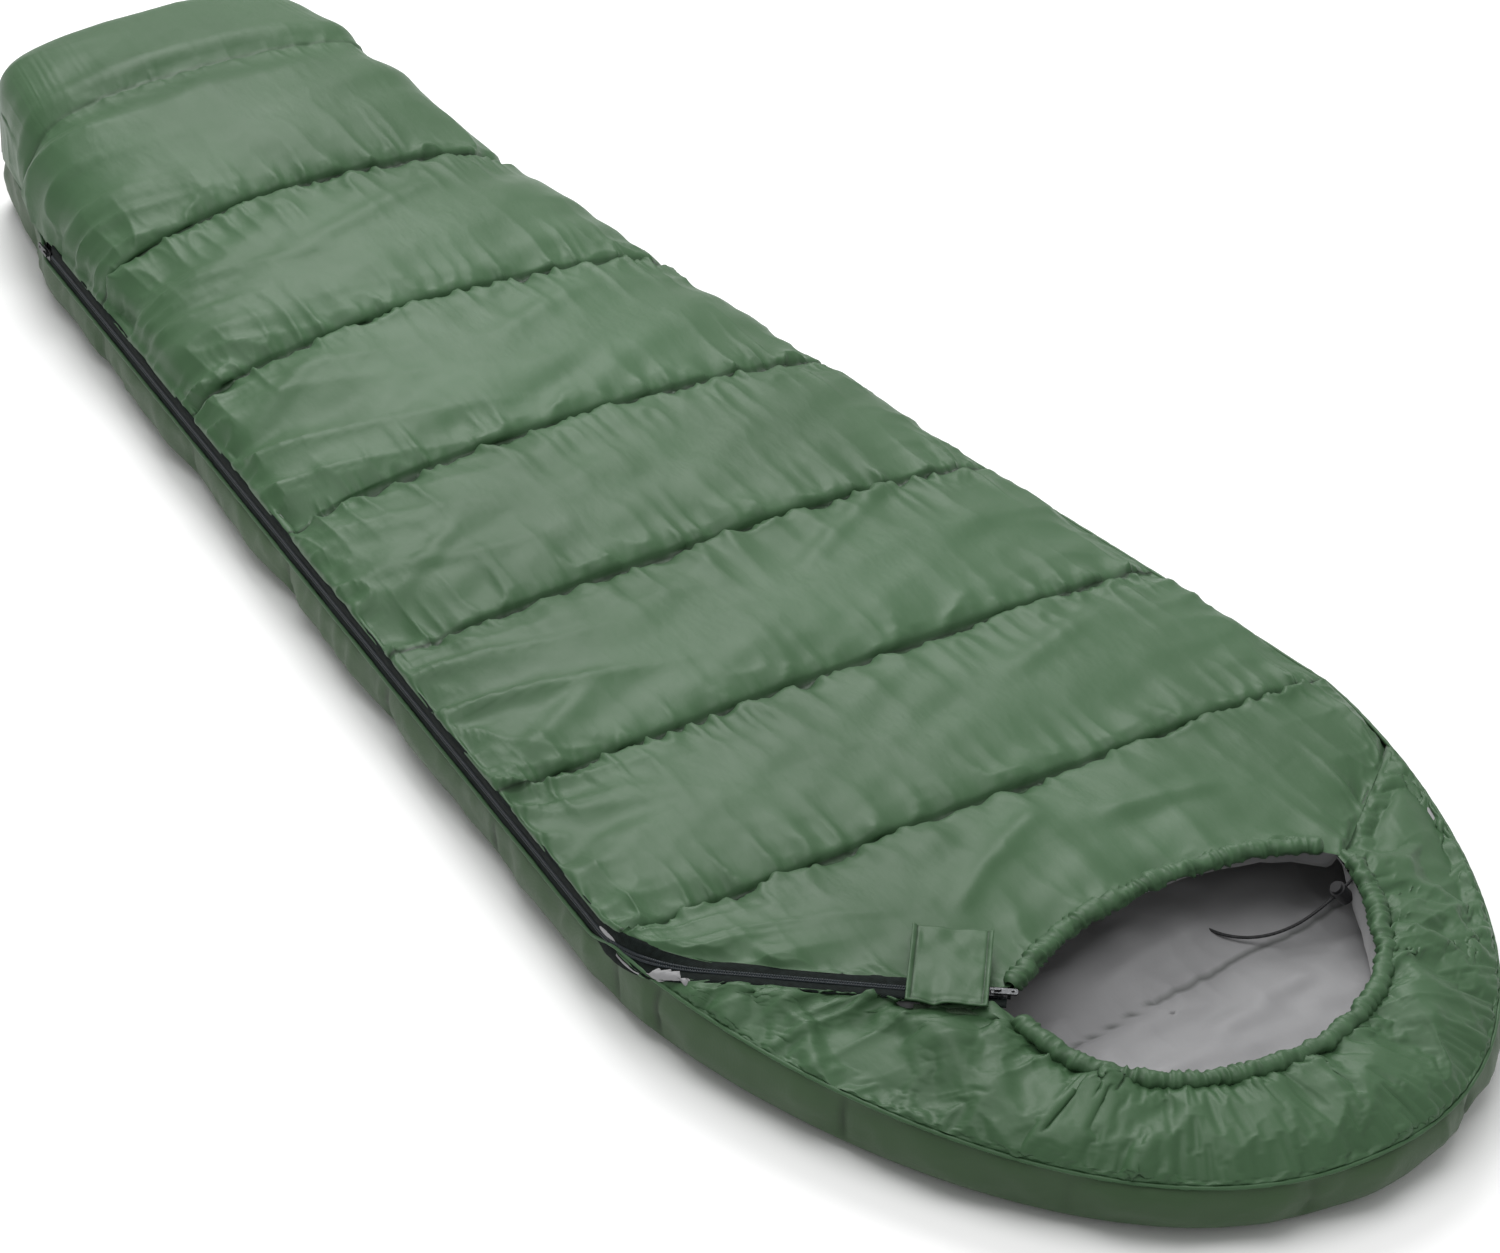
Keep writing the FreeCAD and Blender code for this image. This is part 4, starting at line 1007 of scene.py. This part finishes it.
def make_base_lining(loop, out, spine):
    seam = seam_height(loop[:, 1]) - 0.005 - TAPE_OVERLAP * beside_zip_side(loop)
    profile = [(-0.004, 0.98), (-0.016, 0.92), (-0.026, 0.72), (-0.034, 0.50), (-0.046, 0.38),
               (-0.064, 0.345), (-0.085, 0.335)]
    profile = rounded(profile, 3)
    wall_rings = [np.column_stack([loop + out * o, seam * z]) for o, z in profile]
    first = wall_rings[-1]
    rings = 72
    for q in np.linspace(0.0, 1.0, rings)[1:]:
        plan = mix(first[:, :2], spine, q)
        wall_rings.append(np.column_stack([plan, np.full(len(plan), BASE_LINING_Z)]))
    p = np.array(wall_rings)
    x, y = p[..., 0], p[..., 1]
    line = LINING_SEAM[1] + (x - LINING_SEAM[0]) * LINING_SEAM[2]
    from_line = y - line
    quilt = 0.013 * (1.0 - bell(from_line, 0.055)) * smooth((0.4 - np.abs(from_line)) / 0.2)
    quilt = np.minimum(quilt, 0.013)
    disp = quilt + 0.0040 * Noise(41)(x / 0.09 + y / 0.25, y / 0.035 - x / 0.12)
    disp += 0.0022 * Noise(42)(x / 0.03, y / 0.02)
    disp += puckers(Noise(43), x, np.abs(from_line), LINING_GATHERS)
    disp -= 0.002 * bell(from_line, 0.004)
    disp += strokes(x, y, LINING_FOLDS)
    inside = smooth(arc(p, 0) / 0.05)
    n = grid_normals(p, closed=True)
    n = np.where(n[..., 2:] < 0.0, -n, n)
    p = p + n * (disp * inside * smooth((n[..., 2] - 0.3) / 0.4))[..., None]
    p[..., 2] = np.maximum(p[..., 2], 0.006)
    # Painted shade along the lining's seam.
    shade = 0.7 * bell(from_line, 0.0016) * inside
    obj = sheet_object("base_lining", p, LINING, closed=True, slot="grey_lining", fields={"shade": shade})
    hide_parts("bottom_liner")


LINING_SEAM = (0.0, -0.757, 0.115)
LINING_FOLDS = [
    (-0.12, -0.700, 0.06, -0.665, 0.012, 0.006), (-0.05, -0.725, 0.13, -0.690, 0.010, 0.005),
    (0.00, -0.650, 0.15, -0.610, 0.014, 0.006), (-0.10, -0.845, 0.03, -0.865, 0.016, 0.005),
    (0.06, -0.815, 0.15, -0.800, 0.014, 0.005), (-0.16, -0.760, -0.08, -0.735, 0.012, 0.005),
]


def make_welt(edge, out):
    """Piping sewn into the side seam, and along the lower fabric's edge where the zip is."""
    line = edge + np.column_stack([out * 0.0016, np.zeros(len(out))])
    line = line + np.array([0.0, 0.0, 0.0008])
    turn = np.linspace(0.0, 2.0 * math.pi, 9)[:-1]
    run = lengths(np.vstack([line, line[:1]]))[:-1]
    radius = 0.0019 * (1.0 + 0.16 * Noise(51)(run / 0.006, run * 0.0))
    side = np.column_stack([out, np.zeros(len(out))])
    p = line[None] + np.cos(turn)[:, None, None] * radius[None, :, None] * side[None]
    p = p + np.sin(turn)[:, None, None] * radius[None, :, None] * np.array([0.0, 0.0, 1.0])
    p = np.concatenate([p, p[:1]], axis=0)
    obj = sheet_object("side_welt_piping", p, SHELL, closed=True, tube=True, slot="welt_fabric",
                       fields={"shade": np.zeros(p.shape[:2])})
    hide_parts("side_welt")


# --- Zip -----------------------------------------------------------------------------------------

def zip_span(from_run, to_run):
    """Which points of the zip's path lie between its two ends, and their places along it."""
    run = lengths(ZIP)
    keep = (run >= from_run) & (run <= run[-1] - to_run)
    return keep, run[keep]


def make_tape(name, side, from_run, to_run, replaced):
    keep, run = zip_span(from_run, to_run)
    across = np.array([0.0016, 0.0035, 0.0070, 0.0110, TAPE_EDGE]) * side
    lift = 0.0007 * np.sin(run / 0.019) + 0.0004 * Noise(61)(run / 0.008, run * 0.0)
    rows = []
    for low in (0.0005, -0.0005):
        for a in (across if low > 0 else across[::-1]):
            out = low + lift * abs(a) / TAPE_EDGE + 0.0012 * bell(abs(a) - 0.009, 0.004)
            rows.append(ZIP[keep] + ZIP_ACROSS[keep] * a + ZIP_OUT[keep] * out[:, None])
    rows.append(rows[0])
    p = np.array(rows)
    obj = sheet_object(name, p, TAPE, tube=True, body="root" if side < 0 else None, slot="zip_tape")
    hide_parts(replaced)
    if side > 0:
        blend_with_flap(obj)


def make_coil(name, side, from_run, to_run, replaced):
    """One side of the nylon coil: a round ridge with a loop for each tooth."""
    length = lengths(ZIP)[-1]
    run = np.arange(from_run, length - to_run, TOOTH_PITCH / 4.0)
    at = lengths(ZIP)
    pick = lambda a: np.stack([np.interp(run, at, a[:, k]) for k in range(3)], axis=1)
    middle, across, out = pick(ZIP), unit(pick(ZIP_ACROSS)), unit(pick(ZIP_OUT))
    phase = run / TOOTH_PITCH * 2.0 * math.pi + (0.0 if side > 0 else math.pi)
    swell = 0.5 + 0.5 * np.cos(phase)
    radius = 0.0009 + 0.0007 * swell
    turn = np.linspace(0.0, 2.0 * math.pi, 8)
    rows = []
    for a in turn:
        offset = side * (0.0019 - 0.0006 * swell) + 1.15 * radius * math.cos(a)
        rows.append(middle + across * offset[:, None] + out * (0.0007 + radius * math.sin(a))[:, None])
    p = np.array(rows)
    obj = sheet_object(name, p, COIL, tube=True, body="root" if side < 0 else None, slot="zip_coil")
    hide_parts(replaced)
    if side > 0:
        blend_with_flap(obj)


def make_zip():
    make_tape("zip_tape_lower_cloth", -1.0, 0.0, -0.002, "zip_tape_lower")
    make_tape("zip_tape_upper_cloth", 1.0, 0.022, 0.020, "zip_tape_upper")
    make_coil("zip_coil_lower", -1.0, 0.004, 0.001, "zip_teeth_lower")
    make_coil("zip_coil_upper", 1.0, 0.024, 0.022, "zip_teeth_upper")
    for name in ("main_slider_body", "main_slider_pull", "foot_slider_body", "foot_slider_pull", "zip_stops"):
        dress(name, METAL)


def dress(name, material):
    """A CAD node that keeps its shape gets a finished material."""
    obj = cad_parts[name]
    obj.data.materials.clear()
    obj.data.materials.append(material)


# --- Gathered hems, tab, cord ------------------------------------------------------------------------

def make_hem(name, points, body, seed, replaced):
    """Casing gathered onto its cord: a flat tube with uneven pleats."""
    line = rounded(points)
    line = resample(np.column_stack([line, rim_height(line[:, 1])]), int(lengths(line)[-1] / 0.0013))
    run = lengths(line)
    turn = np.linspace(0.0, 2.0 * math.pi, 25)[:-1]
    s, a = np.meshgrid(run, turn, indexing="ij")
    noise = Noise(seed)
    skew = 0.10 * np.sin(a)
    pleat = noise.ridge(s / 0.0080 + skew * 2.0, a * 0.35) * 0.5 + 0.5
    broad = noise(s / 0.021 + 40.0, a * 0.5)
    fine = noise.ridge(s / 0.0042 + 70.0 - skew, a * 0.6 + 9.0)
    swell = 0.72 + 0.42 * pleat + 0.16 * broad + 0.07 * fine
    ends = np.minimum(1.0, np.minimum(s, run[-1] - s) / 0.006 + 0.25) ** 0.5
    ring = np.stack([np.cos(a) * HEM_WIDE * swell * ends, np.sin(a) * HEM_HIGH * swell * ends], axis=2)
    p = tube_grid(line, ring)
    p[..., 2] += 0.0035 + 0.0016 * noise(s / 0.03, 5.0 + 0.0 * s)
    # Painted shade in the valleys between the pleats.
    obj = sheet_object(name, p, SHELL, closed=True, tube=True, body=body, slot="green_shell_fabric",
                       fields={"shade": 0.35 * (1.0 - pleat) ** 2})
    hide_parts(*replaced)
    return obj


def tab_frame():
    """Start of the cross run with its directions, for places given along it, across it and out of it."""
    start = np.array([*CROSS_START,
                      float(dome(np.array(CROSS_START[0]), np.array(CROSS_START[1]))) + ZIP_STANDOFF])
    end = np.array([*CROSS_END, float(dome(np.array(CROSS_END[0]), np.array(CROSS_END[1]))) + ZIP_STANDOFF])
    along = unit(end - start)
    across = np.array([0.65, 0.76, 0.0])
    across = unit(across - along * (across @ along))
    return start, along, across, np.cross(along, across)


TAB_FROM, TAB_TO, TAB_FREE, TAB_HINGE = 0.170, 0.242, -0.030, 0.074


def make_tab():
    """Fabric tab that folds down over the zip's head end, with turned edges and stitches round it."""
    start, along, across, out = tab_frame()
    s = np.linspace(TAB_FROM, TAB_TO, 49)
    a = np.linspace(TAB_FREE, TAB_HINGE, 65)
    s, a = np.meshgrid(s, a, indexing="ij")
    profile_a = [-0.030, -0.019, -0.015, 0.024, 0.074]
    profile_o = [0.0088, 0.0088, 0.0098, 0.0102, 0.0134]
    o = np.interp(a, profile_a, profile_o)
    edge = np.minimum(np.minimum(s - TAB_FROM, TAB_TO - s), a - TAB_FREE)
    inset = bell(edge - 0.0045, 0.0012)
    noise = Noise(71)
    o = o + 0.0016 * noise(s / 0.016, a / 0.022)
    o = o + 0.0010 * noise(s / 0.007 + 9.0, a / 0.012) * bell(edge, 0.012)
    o = o + 0.0018 * bell(edge, 0.004) - 0.0012 * inset
    o = o + 0.0022 * bell(a - TAB_FREE, 0.02) * noise(s / 0.013 + 3.0, 2.0 + 0.0 * s)
    o = o + 0.0015 * bell(s - TAB_FROM, 0.006)
    p = start + along * s[..., None] + across * a[..., None] + out * o[..., None]
    # Painted shade along the stitch line set in from the edges.
    obj = sheet_object("closure_tab_cloth", p, SHELL, body="closure_tab", slot="green_shell_fabric",
                       fields={"shade": 0.7 * inset})
    thicken = obj.modifiers.new("thickness", "SOLIDIFY")
    thicken.thickness, thicken.offset = 0.0016, -1.0
    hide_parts("closure_tab")
    dress("hook_patch", PATCH)
    dress("loop_patch", PATCH)


def make_cord():
    curve = bpy.data.curves.new("drawcord_free_end", "CURVE")
    curve.dimensions = "3D"
    curve.bevel_depth = CORD_DIAMETER / 2.0
    curve.bevel_resolution = 3
    curve.resolution_u = 16
    curve.use_fill_caps = True
    spline = curve.splines.new("NURBS")
    spline.points.add(len(CORD_POINTS) - 1)
    for point, place in zip(spline.points, CORD_POINTS):
        point.co = (*place, 1.0)
    spline.order_u = 3
    spline.use_endpoint_u = True
    curve.materials.append(CORD)
    obj = bpy.data.objects.new("drawcord_free_end", curve)
    bpy.context.scene.collection.objects.link(obj)
    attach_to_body(obj, "root")
    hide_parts("drawcord_tail")
    for name in ("cord_end_cap", "cord_lock_body", "cord_lock_plunger"):
        dress(name, PLASTIC)
    dress("cord_lock_spring", METAL)


# --- Studio ---------------------------------------------------------------------------------------------

def make_camera():
    level = Vector((math.sin(CAMERA_YAW), math.cos(CAMERA_YAW), 0.0))
    ahead = level * math.cos(CAMERA_PITCH) - Vector((0.0, 0.0, math.sin(CAMERA_PITCH)))
    right = ahead.cross(Vector((0.0, 0.0, 1.0))).normalized()
    up = right.cross(ahead)
    side = right * math.cos(CAMERA_ROLL) + up * math.sin(CAMERA_ROLL)
    top = up * math.cos(CAMERA_ROLL) - right * math.sin(CAMERA_ROLL)
    data = bpy.data.cameras.new("camera")
    data.sensor_width, data.lens = SENSOR, LENS
    data.clip_end = 60.0
    camera = bpy.data.objects.new("camera", data)
    camera.matrix_world = Matrix(((side.x, top.x, -ahead.x, CAMERA_AT.x),
                                  (side.y, top.y, -ahead.y, CAMERA_AT.y),
                                  (side.z, top.z, -ahead.z, CAMERA_AT.z), (0.0, 0.0, 0.0, 1.0)))
    bpy.context.scene.collection.objects.link(camera)
    bpy.context.scene.camera = camera


def area_light(name, place, target, size, power, colour=(1.0, 1.0, 1.0)):
    data = bpy.data.lights.new(name, "AREA")
    data.shape, data.size, data.energy, data.color = "DISK", size, power, colour
    light = bpy.data.objects.new(name, data)
    light.location = place
    light.rotation_mode = "QUATERNION"
    light.rotation_quaternion = (Vector(target) - Vector(place)).to_track_quat("-Z", "Y")
    bpy.context.scene.collection.objects.link(light)


def make_studio():
    size = 14.0
    corners = np.array([(-size, -size, 0.0), (size, -size, 0.0), (size, size, 0.0), (-size, size, 0.0)])
    floor = mesh_object("studio_floor", corners, np.array([[0, 1, 2, 3]]), floor_material(), body=None)
    world = bpy.data.worlds.new("studio")
    world.use_nodes = True
    world.node_tree.nodes["Background"].inputs["Color"].default_value = (1.0, 1.0, 1.0, 1.0)
    world.node_tree.nodes["Background"].inputs["Strength"].default_value = 0.58
    bpy.context.scene.world = world
    area_light("key_from_foot", (1.2, 2.6, 3.2), (0.1, -0.2, 0.1), 2.4, 130.0)
    area_light("soft_top", (-0.6, -0.6, 3.4), (0.0, -0.2, 0.0), 3.0, 70.0)
    bpy.context.scene.view_settings.view_transform = "Standard"


# --- Build -----------------------------------------------------------------------------------------------

make_camera()
make_cord()
make_top()
make_hood()
make_base()
make_zip()
blend_with_flap(make_hem("chin_hem_gathered", CHIN_HEM, None, 81, ("chin_hem", "chin_elastic")))
make_hem("hood_hem_gathered", HOOD_HEM, "root", 82, ("hood_hem", "hood_drawcord"))
make_tab()
make_studio()
